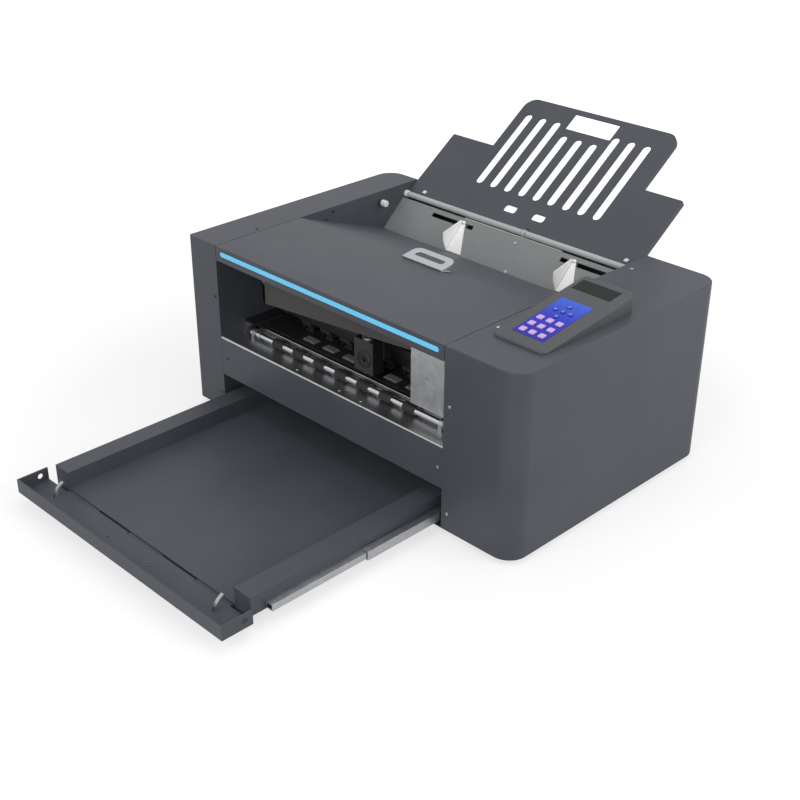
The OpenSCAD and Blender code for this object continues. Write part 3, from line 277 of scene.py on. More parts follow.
# %% [markdown]
# ## Keypad, display and light
# The keypad is a glossy printed film, lighter blue at the back and deep blue at the front, with pale
# square keys and small round blue ones with a navy rim, which is painted shade round each dome. The
# display is dark glass. The light strip is a frosted bar that glows pale blue: mostly a bright surface,
# with a little light of its own so that it still looks lit.

# %% Blue keypad film
film, tree, shader, place = finish("blue_printed_film", Roughness=0.38, IOR=1.35)
keypad_low, keypad_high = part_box("keypad_plate")
depth = add(tree, "ShaderNodeSeparateXYZ", {"Vector": place})
share = add(tree, "ShaderNodeMapRange", {"Value": depth.outputs["Y"], "From Min": keypad_low.y,
            "From Max": keypad_high.y})
ink = add(tree, "ShaderNodeValToRGB", {"Fac": share.outputs["Result"]})
ink.color_ramp.elements[0].color = linear("#231CA4")
ink.color_ramp.elements[1].color = linear("#3A63DA")
middle = ink.color_ramp.elements.new(0.55)
middle.color = linear("#2430C4")
tree.links.new(ink.outputs["Color"], shader.inputs["Base Color"])
print("made", film.name)

# %% Keys, display, light strip and circuit board
key_white = moulded("pale_key_plastic", "#DAB8EE", "#D1AEE8", 0.5, 1.0, 0.08)
key_blue = moulded("blue_key_plastic", "#4A84EA", "#437BDF", 0.42, 1.0, 0.08)
# navy paints the shade round the dome of each round key
key_rim_shade = moulded("navy_key_plastic", "#121A7C", "#10176C", 0.45, 1.0, 0.08)
glass = moulded("dark_display_glass", "#131717", "#101313", 0.4, 30.0, 0.0, 1.25)
diffuser = moulded("frosted_light_bar", "#62B8E0", "#6ABDE3", 0.5, 3.0, 0.05)
glow = diffuser.node_tree.nodes["Principled BSDF"]
glow.inputs["Emission Color"].default_value = linear("#66C4EE")
glow.inputs["Emission Strength"].default_value = 0.37
board = moulded("green_circuit_board", "#16482A", "#1C5633", 0.3, 4.0, 0.1)
print("made", key_white.name, key_blue.name, key_rim_shade.name, glass.name, diffuser.name, board.name)

# %% [markdown]
# ## Rounding the edges
# Folded sheet and moulded plastic never have knife edges: a small radius catches a line of light along
# every edge, and it is what makes a model look made. Each solid is copied, its loose triangles are
# merged, flat faces are joined, and a bevel goes on every edge that is sharper than the curves. A bevel
# that meets a very short edge can shrink to nothing, so collapsed faces are cleared away at the end.
# Some solids hold more than one material, such as a shaft with its grips, so faces can also be painted
# by where they are. The finished piece rides on the same body as the solid that it replaces.

# %% Copy a solid and soften it
made = {}
weld = 0.002 * MM
flat_angle, sharp_angle, crease_angle = (math.radians(a) for a in (0.4, 28, 40))


def rounded(mesh, edges, width, steps, clamp=True):
    bmesh.ops.bevel(mesh, geom=edges, offset=width * MM, offset_type="OFFSET", segments=steps, profile=0.5,
                    affect="EDGES", clamp_overlap=clamp, material=-1)


def softened(node, body, slot, finishes, paint=None, bevels=((0.4, None),), steps=2, clamp=True):
    mesh = bmesh.new()
    mesh.from_mesh(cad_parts[node].data)
    bmesh.ops.remove_doubles(mesh, verts=mesh.verts, dist=weld)
    bmesh.ops.dissolve_limit(mesh, angle_limit=flat_angle, verts=mesh.verts, edges=mesh.edges)
    for width, where in bevels:
        edges = [e for e in mesh.edges if len(e.link_faces) == 2 and e.calc_face_angle(0) > sharp_angle
                 and (where is None or where(*drawn((e.verts[0].co + e.verts[1].co) / 2)))]
        rounded(mesh, edges, width, steps, clamp)
    bmesh.ops.remove_doubles(mesh, verts=mesh.verts, dist=weld)
    bmesh.ops.dissolve_degenerate(mesh, edges=mesh.edges, dist=weld)
    for face in mesh.faces:
        face.material_index = paint(*drawn(face.calc_center_median())) if paint else 0
    return settled(mesh, node + "_piece", body, slot, finishes, node)


def settled(mesh, name, body, slot, finishes, *nodes):
    for face in mesh.faces:
        face.smooth = True
    bmesh.ops.triangulate(mesh, faces=[f for f in mesh.faces if len(f.verts) > 4])
    data = bpy.data.meshes.new(name)
    mesh.to_mesh(data)
    mesh.free()
    data.set_sharp_from_angle(angle=crease_angle)
    for material in finishes:
        data.materials.append(material)
    piece = bpy.data.objects.new(name, data)
    bpy.context.scene.collection.objects.link(piece)
    flat = piece.modifiers.new("flat faces stay flat", "WEIGHTED_NORMAL")
    flat.keep_sharp = True
    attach(piece, body)
    if nodes:
        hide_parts(*nodes)
    made[name] = len(data.polygons)
    return piece


print("softening ready for", len(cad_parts), "solids")

# %% [markdown]
# ## Casing
# Base plate, end covers, rear panel and front bar are folded from 2 mm sheet. The fold at the top of
# the end covers is the roundest, so it gets a bevel of its own before the small one on the other edges
# that show.

# %% Folded casing
right_x, rear_y, casing_top = drawn(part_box("right_cover")[1])
corner_r = 28


def top_fold(x, y, z):
    outside = y < 1 or y > rear_y - 1 or x < 1 or x > right_x - corner_r
    return outside and z > casing_top - 0.1


def front_or_top(x, y, z):
    return y < 3 or z > casing_top - 10


for node in ("left_cover", "right_cover"):
    softened(node, "chassis", "casing", [slate], steps=3, bevels=((1.6, top_fold), (0.5, front_or_top)))
for node in ("base_pan", "rear_panel", "front_bar"):
    softened(node, "chassis", "casing", [slate], bevels=((0.5, None),))
softened("rubber_feet", "chassis", "rubber", [rubber], bevels=((1.0, None),))
print("casing pieces:", made)

# %% [markdown]
# ## Cover, handle and light
# The cover is one long sheet with a lip at the front, a bend, and a slope at the back. The handle is a
# bent aluminium plate with a finger slot. A bevel normally stops where it would run past the shortest
# edge beside it. On the handle's curves that leaves nothing, so its bevel is made without this limit.
# The light bar lies in the lip.

# %% Top cover, handle and light
softened("top_cover", "cover", "casing", [slate], bevels=((0.6, None),))
softened("cover_handle", "cover", "satin_aluminium", [aluminium], bevels=((0.8, None),), steps=3,
         clamp=False)
softened("led_strip", "cover", "light_blue", [diffuser], bevels=((0.3, None),))
print("cover:", made["top_cover_piece"], "handle:", made["cover_handle_piece"])

# %% [markdown]
# ## Paper support
# The slotted panel is the same sheet as the casing. Its hinge barrels are pale tubes, so faces close
# to the hinge line take a second finish. The clips at the ends of the hinge are white, and the one
# between the barrels is pale grey. The rest peg on the inner wall is white on a black foot.

# %% Paper support and hinge
hinge_y, hinge_z = middle_of("hinge_rod").yz
barrel_reach = 4.9
bay_left = drawn(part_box("left_cover")[1]).x
peg_foot, middle_from, middle_to = 5, 100, 450


def near_hinge(x, y, z):
    return 1 if math.hypot(y - hinge_y, z - hinge_z) < barrel_reach else 0


def middle_clip(x, y, z):
    return 1 if middle_from < x < middle_to else 0


def near_wall(x, y, z):
    return 1 if x < bay_left + peg_foot else 0


softened("paper_support", "support", "casing", [slate, barrel_grey], near_hinge, bevels=((0.5, None),))
softened("hinge_rod", "chassis", "polished_steel", [chrome], bevels=((0.4, None),))
softened("hinge_clips", "chassis", "white_plastic", [nylon, barrel_grey], middle_clip,
         bevels=((0.6, None),))
softened("support_peg", "chassis", "white_plastic", [nylon, rubber], near_wall, bevels=((0.8, None),))
print("support:", made["paper_support_piece"])

# %% [markdown]
# ## Sheet feed
# A sloped plate carries two bent guides that slide in slots, driven together by racks and a pinion
# below. A rubber roller pulls the lowest sheet in.

# %% Feed plate, guides and roller
pick_y, pick_z = middle_of("feed_roller").yz
pick_shaft = 4.3


def roller_shaft(x, y, z):
    return 1 if math.hypot(y - pick_y, z - pick_z) < pick_shaft else 0


softened("feed_plate", "chassis", "feed_grey", [feed_grey], bevels=((0.3, None),))
for side in ("left", "right"):
    softened("guide_" + side, side + "_guide", "guide_white", [guide_white], bevels=((0.25, None),))
softened("guide_pinion", "pinion", "white_plastic", [nylon], bevels=((0.15, None),))
softened("feed_roller", "feed", "roller_rubber", [rubber, chrome], roller_shaft, bevels=((0.5, None),))
print("feed plate:", made["feed_plate_piece"])

# %% [markdown]
# ## Front opening
# Behind the front bar lie the polished chute, the delivery shaft with its grips, the platen, the pinch
# rollers under the gantry, and the cutting carriage. Little light gets in, so bright metal edges carry
# the picture here.

# %% Chute and shafts
exit_y, shaft_z = middle_of("delivery_shaft").yz
drive_y = middle_of("drive_shaft").y
bare_shaft, grips_from, grips_to = 4.8, 100, 470
edge_depth = 2.4


def chute_edge(x, y, z):
    return 1 if y < edge_depth else 0


def grip_faces(axis_y):
    def rule(x, y, z):
        far = math.hypot(y - axis_y, z - shaft_z)
        return 1 if far > bare_shaft and grips_from < x < grips_to else 0
    return rule


softened("chute_plate", "chassis", "polished_steel", [stainless, bright_edge], chute_edge,
         bevels=((0.3, None),))
softened("delivery_shaft", "delivery", "chrome_shaft", [chrome, rubber], grip_faces(exit_y),
         bevels=((0.5, None),))
softened("drive_shaft", "drive", "chrome_shaft", [chrome, rubber], grip_faces(drive_y),
         bevels=((0.4, None),))
softened("shaft_bearings", "chassis", "zinc_steel", [zinc], bevels=((0.6, None),))
softened("platen_deck", "chassis", "feed_grey", [black_abs], bevels=((0.3, None),))
softened("pinch_rollers", "pinch", "roller_rubber", [rubber], bevels=((0.3, None),))
softened("pinch_arms", "chassis", "black_plastic", [black_abs], bevels=((0.5, None),))
print("delivery shaft:", made["delivery_shaft_piece"])

# %% Gantry and carriage
sheet_back, sheet_bend, cap_low = 41.5, 208, 170


def beam_sheet(x, y, z):
    return 1 if y < sheet_back or z > sheet_bend else 0


def holder_cap(x, y, z):
    return 1 if z > cap_low else 0


softened("gantry_beam", "chassis", "anodised_black", [anodised, umber], beam_sheet,
         bevels=((0.4, None),))
softened("end_plate", "chassis", "zinc_steel", [galvanised], bevels=((0.4, None),))
softened("carriage", "cutter", "anodised_black", [black_abs], bevels=((0.8, None),))
softened("blade_holder", "blade", "satin_aluminium", [aluminium, anodised], holder_cap,
         bevels=((0.4, None),))
for node, body in (("drive_pulley", "pulley"), ("idler_pulley", "idler")):
    softened(node, body, "satin_aluminium", [aluminium], bevels=((0.2, None),))
softened("timing_belts", "chassis", "rubber", [rubber], bevels=((0.3, None),))
softened("stepper_motors", "chassis", "motor_black", [lacquer], bevels=((0.6, None),))
print("gantry:", made["gantry_beam_piece"])

# %% [markdown]
# ## Tray
# The tray is folded from sheet, with box-shaped sides that hide the slides. Its front drops down on a
# hinge and has two bright curved stays, which take the zinc finish.

# %% Tray and slides
front_y, front_z = -302.0, 8.5
stay_inner, stay_outer, stay_low = 20.0, 24.0, 12.3
stay_spans = ((108, 115), (447, 454))


def stay_faces(x, y, z):
    far = math.hypot(y - front_y, z - front_z)
    on_a_stay = any(start < x < end for start, end in stay_spans)
    return 1 if stay_inner < far < stay_outer and z > stay_low and on_a_stay else 0


softened("tray_pan", "tray", "casing", [slate], bevels=((0.5, None),))
softened("tray_front", "front", "casing", [slate, zinc], stay_faces, bevels=((0.4, None),))
for node, body in (("slide_outer", "chassis"), ("slide_mid", "mid_slides"), ("slide_inner", "tray")):
    softened(node, body, "zinc_steel", [zinc], bevels=((0.25, None),))
print("tray:", made["tray_pan_piece"], made["tray_front_piece"])

# %% [markdown]
# ## Control pod
# The pod is a moulded wedge. Its top edge has a wide radius that shrinks towards the front, where the
# wedge is only 4 mm high. A bevel cannot change its width on the way, so the shell is built from the
# outline instead: the same outline again and again, each time a little further in and a little higher
# on a quarter circle. The flat top is then filled round the openings for the keypad and the display.

# %% Pod shell from its outline
pod_w, pod_d, pod_h = (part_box("control_pod")[1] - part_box("control_pod")[0]) / MM
pod_x, pod_front = middle_of("control_pod").x, drawn(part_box("control_pod")[0]).y
pod_lip, pod_corner = 4.0, 10.0
edge_r, edge_foot, edge_steps = 8.0, 1.2, 8
pod_slope = math.atan2(pod_h - pod_lip, pod_d)
pod_up = Vector((0, -math.sin(pod_slope), math.cos(pod_slope)))


def pod_top(y):
    return casing_top + pod_lip + (y - pod_front) * math.tan(pod_slope)


def corner_centre(point):
    half_w, far = pod_w / 2 - pod_corner, pod_front + pod_d - pod_corner
    return Vector((min(max(point.x, pod_x - half_w), pod_x + half_w),
                   min(max(point.y, pod_front + pod_corner), far), 0))


def fresh(geom, kind):
    return [item for item in geom if isinstance(item, kind)]


shell = bmesh.new()
sole = bmesh.ops.create_grid(shell, x_segments=1, y_segments=1, size=0.5)["verts"]
bmesh.ops.scale(shell, verts=sole, vec=Vector((pod_w, pod_d, 1)) * MM)
bmesh.ops.translate(shell, verts=sole, vec=at(pod_x, pod_front + pod_d / 2, casing_top))
bmesh.ops.bevel(shell, geom=sole, offset=pod_corner * MM, offset_type="OFFSET", segments=12, profile=0.5,
                affect="VERTICES", clamp_overlap=True, material=-1)
home = {vert: drawn(vert.co) for vert in shell.verts}
ring = shell.edges[:]
for step in range(edge_steps):
    turn = math.radians(step * 90 / (edge_steps - 1))
    grown = bmesh.ops.extrude_edge_only(shell, edges=ring)["geom"]
    ring = [e for e in fresh(grown, bmesh.types.BMEdge) if e.is_boundary]
    came_from = {}
    for vert in fresh(grown, bmesh.types.BMVert):
        start = next(home[e.other_vert(vert)] for e in vert.link_edges if e.other_vert(vert) in home)
        centre = corner_centre(start)
        radius = min(edge_r, pod_top(start.y) - casing_top - edge_foot)
        inward = 1 - radius * (1 - math.cos(turn)) / pod_corner
        spot = centre + (Vector((start.x, start.y, 0)) - centre) * inward
        vert.co = at(spot.x, spot.y, pod_top(spot.y) - radius * (1 - math.sin(turn)))
        came_from[vert] = start
    home = came_from
print("pod shell:", len(shell.faces), "faces before its top is closed")

# %% Pod top with its two openings
mouth_depth = 5.5
keypad_mouth = (24.4, 18.8, 114.1)
display_mouth = (30.2, 138.7, 164.1)


def on_pod(x, along):
    return at(pod_x + x, pod_front + along * math.cos(pod_slope),
              casing_top + pod_lip + along * math.sin(pod_slope))


for half, near, far in (keypad_mouth, display_mouth):
    outline = ((-half, near), (half, near), (half, far), (-half, far))
    edge = [shell.verts.new(on_pod(x, along)) for x, along in outline]
    ring += [shell.edges.new(pair) for pair in zip(edge, edge[1:] + edge[:1])]
mouths = ring[-8:]
bmesh.ops.triangle_fill(shell, use_beauty=True, use_dissolve=False, edges=ring, normal=pod_up)
sunk = bmesh.ops.extrude_edge_only(shell, edges=mouths)["geom"]
bmesh.ops.translate(shell, verts=fresh(sunk, bmesh.types.BMVert), vec=pod_up * -mouth_depth * MM)
bmesh.ops.edgeloop_fill(shell, edges=[e for e in fresh(sunk, bmesh.types.BMEdge) if e.is_boundary])
bmesh.ops.recalc_face_normals(shell, faces=shell.faces)
print("open edges left:", sum(1 for e in shell.edges if not e.is_manifold))
settled(shell, "control_pod_shell", "chassis", "pod_shell", [grey_abs], "control_pod")

# %% [markdown]
# ## Keypad and keys
# The film, the display and fourteen keys sit in the pod. Each key is its own piece, since each can be
# pressed, and gets the small radius of a moulded button. A round key is navy outside a small blue top:
# the navy is painted shade round its dome.

# %% Display, keypad and keys
blue_top = 1.2


# faces outside the small blue top are painted navy, as shade round the dome
def shaded_rim_of(node):
    middle = middle_of(node)
    return lambda x, y, z: 1 if math.hypot(x - middle.x, y - middle.y) > blue_top else 0


softened("lcd_window", "chassis", "display", [glass], bevels=((0.3, None),))
softened("keypad_plate", "chassis", "keypad_blue", [film], bevels=((0.2, None),))
for node in [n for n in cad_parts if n.startswith("key_")]:
    softened(node, node + "_cap", "key_white", [key_white], bevels=((0.35, None),), steps=3)
for node in [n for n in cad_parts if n.startswith("nav_")]:
    softened(node, node + "_cap", "key_blue", [key_blue, key_rim_shade], shaded_rim_of(node), bevels=((0.9, None),),
             steps=3)
print("keys:", sum(1 for n in made if n.startswith(("key_", "nav_"))))

# %% [markdown]
# ## Inside and behind
# The power supply and circuit board stand in the right end cover, out of sight. The mains inlet and its
# switch are on the back, and show when the machine is turned round. The pins in the inlet are metal.

# %% Electrics
board_face, inlet_aside = 604.2, 20
inlet_x, inlet_z = middle_of("right_cover").x - inlet_aside, middle_of("power_inlet").z
pin_end, pin_root, pins_half_w, pins_half_h = 2.9, 18.8, 8.2, 6.5


def board_parts(x, y, z):
    return 1 if x < board_face else 0


def inlet_pins(x, y, z):
    inside = rear_y - pin_root < y < rear_y - pin_end
    return 1 if inside and abs(x - inlet_x) < pins_half_w and abs(z - inlet_z) < pins_half_h else 0


softened("power_supply", "chassis", "zinc_steel", [zinc], bevels=((0.5, None),))
softened("mainboard", "chassis", "circuit_board", [board, black_abs], board_parts, bevels=((0.2, None),))
softened("power_inlet", "chassis", "black_plastic", [black_abs, brass], inlet_pins,
         bevels=((0.3, None),))
softened("rocker_switch", "rocker", "black_plastic", [black_abs], bevels=((0.5, None),))
print("pieces so far:", len(made))

# %% [markdown]
# ## Screws
# Button-head screws hold the covers, the chute and the feed plate: blackened ones on the left, the inner
# wall and the rear panel, plated ones elsewhere. A solid disc would read as a dot, so each head is built
# from rings on a rounded profile and gets a hexagon socket, as a screw maker's punch leaves it.

# %% One button-head screw
around = 36
head_profile = ((1.0, 0.0), (1.0, 0.35), (0.88, 0.8), (0.58, 1.0))
socket_share, socket_floor = 0.42, 0.3


def screw(mesh, place, axis, radius, height):
    rings = []
    for far, up in head_profile:
        ring = bmesh.ops.create_circle(mesh, segments=around, radius=far * radius)["verts"]
        bmesh.ops.translate(mesh, verts=ring, vec=(0, 0, up * height))
        rings.append(ring)
    for deep in (1.0, socket_floor):
        ring = bmesh.ops.create_circle(mesh, segments=around, radius=socket_share * radius)["verts"]
        for i, vert in enumerate(ring):
            turn = math.radians(i * 360 / around)
            vert.co *= math.cos(math.pi / 6) / math.cos((turn % (math.pi / 3)) - math.pi / 6)
            vert.co.z = deep * height
        rings.append(ring)
    for low, high in zip(rings, rings[1:]):
        loops = [e for e in mesh.edges if all(v in low or v in high for v in e.verts)]
        bmesh.ops.bridge_loops(mesh, edges=loops)
    for ring in (rings[0], rings[-1]):
        bmesh.ops.contextual_create(mesh, geom=ring)
    turn = Vector((0, 0, 1)).rotation_difference(axis).to_matrix().to_4x4()
    bmesh.ops.transform(mesh, verts=sum(rings, []), matrix=Matrix.Translation(place) @ turn)


feed_y, feed_z, feed_angle = hinge_y - 1, hinge_z + 1, math.radians(43)
feed_run, feed_rise = math.cos(feed_angle), math.sin(feed_angle)


def on_feed(x, down, up=0.0):
    return at(x, feed_y - down * feed_run - up * feed_rise, feed_z - down * feed_rise + up * feed_run)


def two_finishes(mesh, first):
    for i, face in enumerate(mesh.faces):
        face.material_index = 0 if i < first else 1


print("screw ready, feed plate at", round(math.degrees(feed_angle)), "degrees")

# %% All the screws
front, top, right = Vector((0, -1, 0)), Vector((0, 0, 1)), Vector((1, 0, 0))
plate_up = Vector((0, -feed_rise, feed_run))
cover_head, flat_head, rim_head = (2.4, 1.0), (2.4, 0.45), (2.2, 0.8)
chute_head, inlet_head = (2.2, 1.0), (1.8, 0.7)
bar_z, chute_z, inlet_face = middle_of("front_bar").z, 117.5, drawn(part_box("power_inlet")[1]).y
dark = [(at(x, 0, z), front, *cover_head) for x, z in ((52, 26), (52, 180), (71, bar_z))]
dark += [(at(51, 83, casing_top), top, *cover_head)]
dark += [(at(bay_left, y, z), right, *flat_head) for y, z in ((222, 253), (208, 243))]
dark += [(at(x, rear_y, z), -front, *cover_head) for x in (70, 492) for z in (22, 122, 222)]
dark += [(at(281, rear_y, z), -front, *cover_head) for z in (22, 228)]
plated = [(at(x, 0, z), front, *cover_head) for x, z in ((512, 26), (512, 180), (494, bar_z))]
plated += [(at(513, 83, casing_top), top, *cover_head), (at(516, 349, casing_top), top, *rim_head)]
plated += [(at(inlet_x + x, inlet_face, inlet_z), -front, *inlet_head) for x in (-18.7, 18.7)]
plated += [(at(x, 13, chute_z), top, *chute_head) for x in (213, 299, 341)]
plated += [(on_feed(x, down), plate_up, *cover_head) for x, down in ((300, 19), (312, 65))]
heads = bmesh.new()
for place, axis, radius, height in dark:
    screw(heads, place, axis, radius * MM, height * MM)
dark_faces = len(heads.faces)
for place, axis, radius, height in plated:
    screw(heads, place, axis, radius * MM, height * MM)
bmesh.ops.recalc_face_normals(heads, faces=heads.faces)
two_finishes(heads, dark_faces)
settled(heads, "button_head_screws", "chassis", "polished_steel", [lacquer, bright_edge], "panel_screws")
print("screws:", len(dark), "blackened and", len(plated), "plated")

# %% [markdown]
# ## Folds and fixings of the guides
# Each white guide is one sheet folded along a line, with two tiny screws at its upper end. The shade
# inside the fold is painted as a thin grey strip on the foot.

# %% Guide screws and painted fold shade
# grey enamel that paints the shade along the inside of each fold
fold_shade_grey = enamel("fold_painted_shade_enamel", "#8C8E90", "#86888A", 0.5)
guide_face, fold_shade_height = 1.8, 0.06
fold_shade_outline = ((0.05, 15), (0.6, 15), (0.6, 65), (0.05, 65))
tiny_r, tiny_h, tiny_down = 0.9, 0.5, 18


def raised(mesh, corners, height):
    base = mesh.faces.new([mesh.verts.new(c) for c in corners])
    up = bmesh.ops.extrude_face_region(mesh, geom=[base])["geom"]
    bmesh.ops.translate(mesh, verts=fresh(up, bmesh.types.BMVert), vec=height * MM)


for side, fold in (("left", 194), ("right", 406)):
    small = bmesh.new()
    for x in (1.6, 4.4):
        screw(small, on_feed(fold + x, tiny_down, guide_face), plate_up, tiny_r * MM, tiny_h * MM)
    screw_faces = len(small.faces)
    # a thin grey strip of painted shade on the foot, along the inside of the fold
    fold_shade = [on_feed(fold + x, down, guide_face) for x, down in fold_shade_outline]
    raised(small, fold_shade, plate_up * fold_shade_height)
    bmesh.ops.recalc_face_normals(small, faces=small.faces)
    two_finishes(small, screw_faces)
    settled(small, side + "_guide_fixings", side + "_guide", "guide_white", [lacquer, fold_shade_grey])
print("guide fixings:", made["left_guide_fixings"])

# %% [markdown]
# ## Clips on the support
# Two small white clips hold the lower edge of the paper support just above its hinge. Each is a moulded
# block with soft edges, so a slanted outline is laid on the sheet, raised and bevelled. They ride with
# the support.

# %% White clips above the hinge
flap_angle = math.radians(34.8)
flap_run, flap_rise = math.cos(flap_angle), math.sin(flap_angle)
flap_up = Vector((0, -flap_rise, flap_run))
clip_foot, clip_height = 0.6, 2.4
clip_outline = ((-3, 8.6), (3, 8.6), (4, 13.6), (-2, 13.6))


def on_flap(x, along, up):
    return at(x, hinge_y + along * flap_run - up * flap_rise,
              hinge_z + along * flap_rise + up * flap_run)


clips = bmesh.new()
for x in (92, 480):
    foot = [on_flap(x + across, along, clip_foot) for across, along in clip_outline]
    raised(clips, foot, flap_up * clip_height)
bmesh.ops.recalc_face_normals(clips, faces=clips.faces)
rounded(clips, clips.edges[:], 0.5, 3)
settled(clips, "support_clips", "support", "white_plastic", [nylon])
print("support clips:", made["support_clips"], "faces")

# %% [markdown]
# ## Paper pads
# Low ribbed pads stand on the platen in front of the pinch rollers and keep a sheet from sagging into
# the blade groove. Each is a moulded plate with six ribs on it, and each of these is a raised rectangle.

# %% Ribbed pads on the platen
pad_grey = moulded("grey_acetal", "#7A7A7D", "#828285", 0.4, 1.2, 0.12)


def slab(mesh, x0, x1, y0, y1, z0, z1):
    corners = [at(x, y, z0) for x, y in ((x0, y0), (x1, y0), (x1, y1), (x0, y1))]
    raised(mesh, corners, Vector((0, 0, z1 - z0)))


pad_count, pad_pitch, pad_half, first_pad = 6, 41, 12, 182
pad_foot = drawn(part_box("platen_deck")[1]).z
pad_top, rib_top = pad_foot + 1.2, pad_foot + 2.5
pad_front, pad_back, rib_inset = 61.5, 74.0, 1.1
rib_count, rib_pitch, rib_w, first_rib = 6, 3.7, 2.3, -10.6
pads = bmesh.new()
for i in range(pad_count):
    middle = first_pad + pad_pitch * i
    slab(pads, middle - pad_half, middle + pad_half, pad_front, pad_back, pad_foot, pad_top)
    for k in range(rib_count):
        rib = middle + first_rib + rib_pitch * k
        slab(pads, rib, rib + rib_w, pad_front + rib_inset, pad_back - rib_inset, pad_top, rib_top)
bmesh.ops.recalc_face_normals(pads, faces=pads.faces)
rounded(pads, pads.edges[:], 0.2, 2)
settled(pads, "paper_pads", "chassis", "black_plastic", [pad_grey])
print("pads:", made["paper_pads"], "faces")

# %% [markdown]
# ## Bright parts in the opening
# A ground steel wire finishes the front edge of the platen, and polished bearing rings sit in the
# brackets of the delivery shaft. Both are turned parts, so half of each section is spun about its axis.
# They are small, but their highlights show where the shaft and the platen end.

# %% Platen wire and bearing rings
pole_weld = 0.0001 * MM


def turned(mesh, profile, place, axis):
    done = set(mesh.verts)
    points = [mesh.verts.new((radius * MM, 0, along * MM)) for radius, along in profile]
    edges = [mesh.edges.new(pair) for pair in zip(points, points[1:])]
    bmesh.ops.spin(mesh, geom=points + edges, cent=(0, 0, 0), axis=(0, 0, 1), angle=2 * math.pi,
                   steps=around, use_merge=True)
    bmesh.ops.remove_doubles(mesh, verts=[v for v in mesh.verts if v not in done], dist=pole_weld)
    turn = Vector((0, 0, 1)).rotation_difference(axis).to_matrix().to_4x4()
    bmesh.ops.transform(mesh, verts=[v for v in mesh.verts if v not in done],
                        matrix=Matrix.Translation(place) @ turn)


wire_r, wire_tip, wire_end, wire_len = 0.8, 0.6, 0.3, 387
wire_start = at(110, 44.9, 132.3)
wire = ((0, 0), (wire_tip, 0), (wire_r, wire_end), (wire_r, wire_len - wire_end), (wire_tip, wire_len),
        (0, wire_len))
bearing = ((4.9, 0), (6.4, 0), (6.4, 1.0), (6.0, 1.4), (5.2, 1.4), (4.9, 1.1), (4.9, 0))
bracket_w = 47
bright = bmesh.new()
turned(bright, wire, wire_start, right)
bracket_low, bracket_high = (drawn(corner_point) for corner_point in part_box("shaft_bearings"))
for x in (bracket_low.x + bracket_w, bracket_high.x):
    turned(bright, bearing, at(x, exit_y, shaft_z), right)
bmesh.ops.recalc_face_normals(bright, faces=bright.faces)
settled(bright, "platen_wire_and_rings", "chassis", "chrome_shaft", [chrome])
print("bearing brackets from x", round(bracket_low.x, 1), "to", round(bracket_high.x, 1))

# %% [markdown]
# ## Coil housing
# The carriage has a round coil housing on its nose, which pulls the blade up. It is a turned part with
# a rim and a sunk middle, so half of its section is drawn and spun about its axis.

# %% Coil housing on the carriage
sunk_face = ((0, -0.4), (4.2, -0.4), (4.6, 0.0), (9.2, 0.0))
raised_rim = ((9.6, 0.9), (12.2, 0.9), (12.8, 0.3), (12.8, -0.6), (0, -0.6))
coil_place = at(middle_of("carriage").x, 41.6, 160)
coil = bmesh.new()
turned(coil, sunk_face + raised_rim, coil_place, front)
bmesh.ops.recalc_face_normals(coil, faces=coil.faces)
settled(coil, "coil_housing", "cutter", "motor_black", [lacquer])
print("coil housing:", made["coil_housing"], "faces")

# %% [markdown]
# ## Floor and light
# The picture was taken on white. The floor takes soft shadows but looks white: it adds white only for
# rays that come from the camera, from gloss or through glass. It adds less near the machine, so that the
# shadow stays, and turns fully white further out. The lamps then need no more strength than a colour
# needs to look as it is written: three large ones stand above, to the right and in front, and a smaller
# low one shines into the opening.

# %% White floor


def seen_rays(tree):
    rays = add(tree, "ShaderNodeLightPath")
    kinds = ("Camera", "Glossy", "Transmission")
    camera_ray, glossy, through = (rays.outputs["Is %s Ray" % kind] for kind in kinds)
    direct = add(tree, "ShaderNodeMath", {0: camera_ray, 1: glossy}, operation="MAXIMUM")
    seen = add(tree, "ShaderNodeMath", {0: direct.outputs[0], 1: through}, operation="MAXIMUM")
    return seen.outputs[0]


floor_half, grey_to, white_from, near_white = 6, 0.5, 1.2, 0.67
floor_mesh = bmesh.new()
bmesh.ops.create_grid(floor_mesh, x_segments=1, y_segments=1, size=floor_half)
floor_data = bpy.data.meshes.new("studio_floor")
floor_mesh.to_mesh(floor_data)
floor_mesh.free()
floor = bpy.data.objects.new("studio_floor", floor_data)
bpy.context.scene.collection.objects.link(floor)
paper, tree, shader, place = finish("white_studio_paper", Roughness=0.9)
shader.inputs["Base Color"].default_value = linear("#A8A8A8")
shader.inputs["Specular IOR Level"].default_value = 0.0
far = add(tree, "ShaderNodeVectorMath", {0: place}, operation="LENGTH")
white = add(tree, "ShaderNodeMapRange", {"Value": far.outputs["Value"], "From Min": grey_to,
            "From Max": white_from, "To Min": near_white, "To Max": 1.0})
lift = add(tree, "ShaderNodeMath", {0: seen_rays(tree), 1: white.outputs["Result"]},
           operation="MULTIPLY")
shader.inputs["Emission Color"].default_value = linear("#FFFFFF")
tree.links.new(lift.outputs[0], shader.inputs["Emission Strength"])
floor_data.materials.append(paper)
print("floor ready")

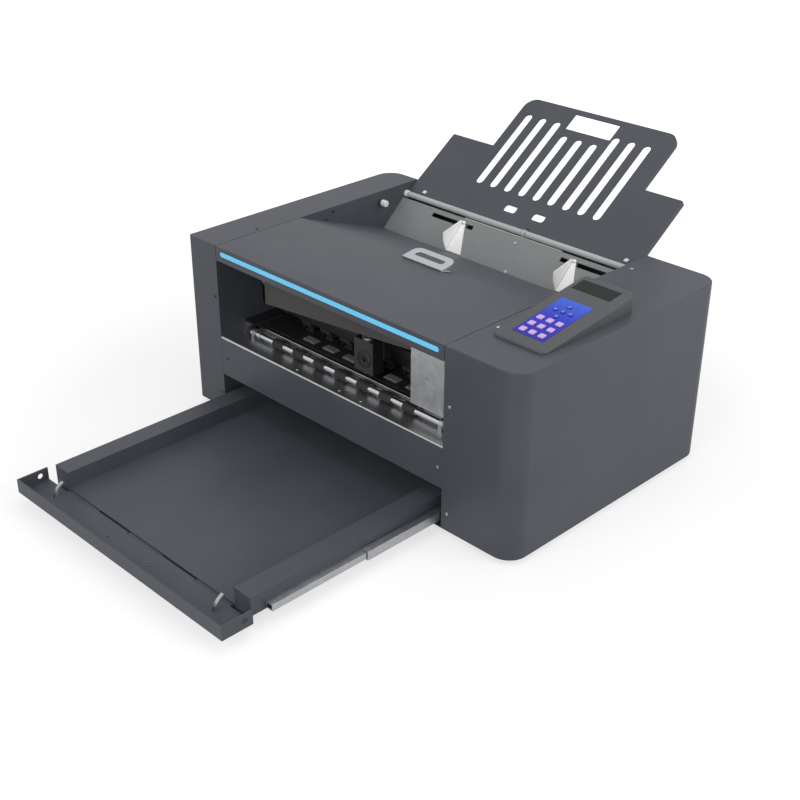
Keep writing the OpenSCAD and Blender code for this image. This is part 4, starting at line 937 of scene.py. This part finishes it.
# %% World and lamps
world = bpy.data.worlds.new("white_room")
bpy.context.scene.world = world
world.use_nodes = True
tree = world.node_tree
sky = tree.nodes["Background"]
level = add(tree, "ShaderNodeMapRange", {"Value": seen_rays(tree), "To Min": 0.32, "To Max": 1.0})
sky.inputs["Color"].default_value = linear("#FFFFFF")
tree.links.new(level.outputs["Result"], sky.inputs["Strength"])


def softbox(name, place, target, size, watts):
    lamp = bpy.data.lights.new(name, "AREA")
    lamp.shape, lamp.size, lamp.energy = "SQUARE", size, watts
    item = bpy.data.objects.new(name, lamp)
    item.location = place
    item.rotation_euler = (Vector(target) - Vector(place)).to_track_quat("-Z", "Y").to_euler()
    bpy.context.scene.collection.objects.link(item)


softbox("overhead", (0.2, 0.4, 2.6), (0.0, 0.0, 0.2), 2.2, 19)
softbox("right_side", (2.6, 0.8, 1.3), (0.1, 0.0, 0.2), 1.8, 34)
softbox("front_fill", (0.2, -2.4, 1.5), (0.0, 0.0, 0.2), 1.6, 22)
softbox("low_front", (1.1, -2.2, 0.55), (-0.1, 0.0, 0.15), 1.0, 9)

# %% [markdown]
# ## Camera
# The camera was solved from the casing's corners in the photograph: it stands to the right of the
# front, about 29 degrees up. The lens shift puts the machine where the photograph has it.

# %% Camera at the photograph's angle
azimuth, elevation = math.radians(45.70), math.radians(29.37)
camera_spot = at(1454.1, -1025.4, 943.7)
lens = bpy.data.cameras.new("photo_camera")
lens.sensor_width, lens.lens = 36.0, 58.97
lens.shift_x, lens.shift_y = 0.0165, 0.0262
lens.clip_start, lens.clip_end = 0.05, 60.0
camera = bpy.data.objects.new("photo_camera", lens)
back = Vector((math.sin(azimuth) * math.cos(elevation), -math.cos(azimuth) * math.cos(elevation),
               math.sin(elevation)))
camera.location = camera_spot
camera.rotation_euler = (-back).to_track_quat("-Z", "Y").to_euler()
bpy.context.scene.collection.objects.link(camera)
bpy.context.scene.camera = camera
bpy.context.scene.view_settings.view_transform = "Standard"
print("camera at, mm:", [round(1000 * c) for c in camera.location])

# %% [markdown]
# ## Faces
# The faces of all the finished pieces are counted and printed.

# %% Face count
print("faces in all:", sum(made.values()))
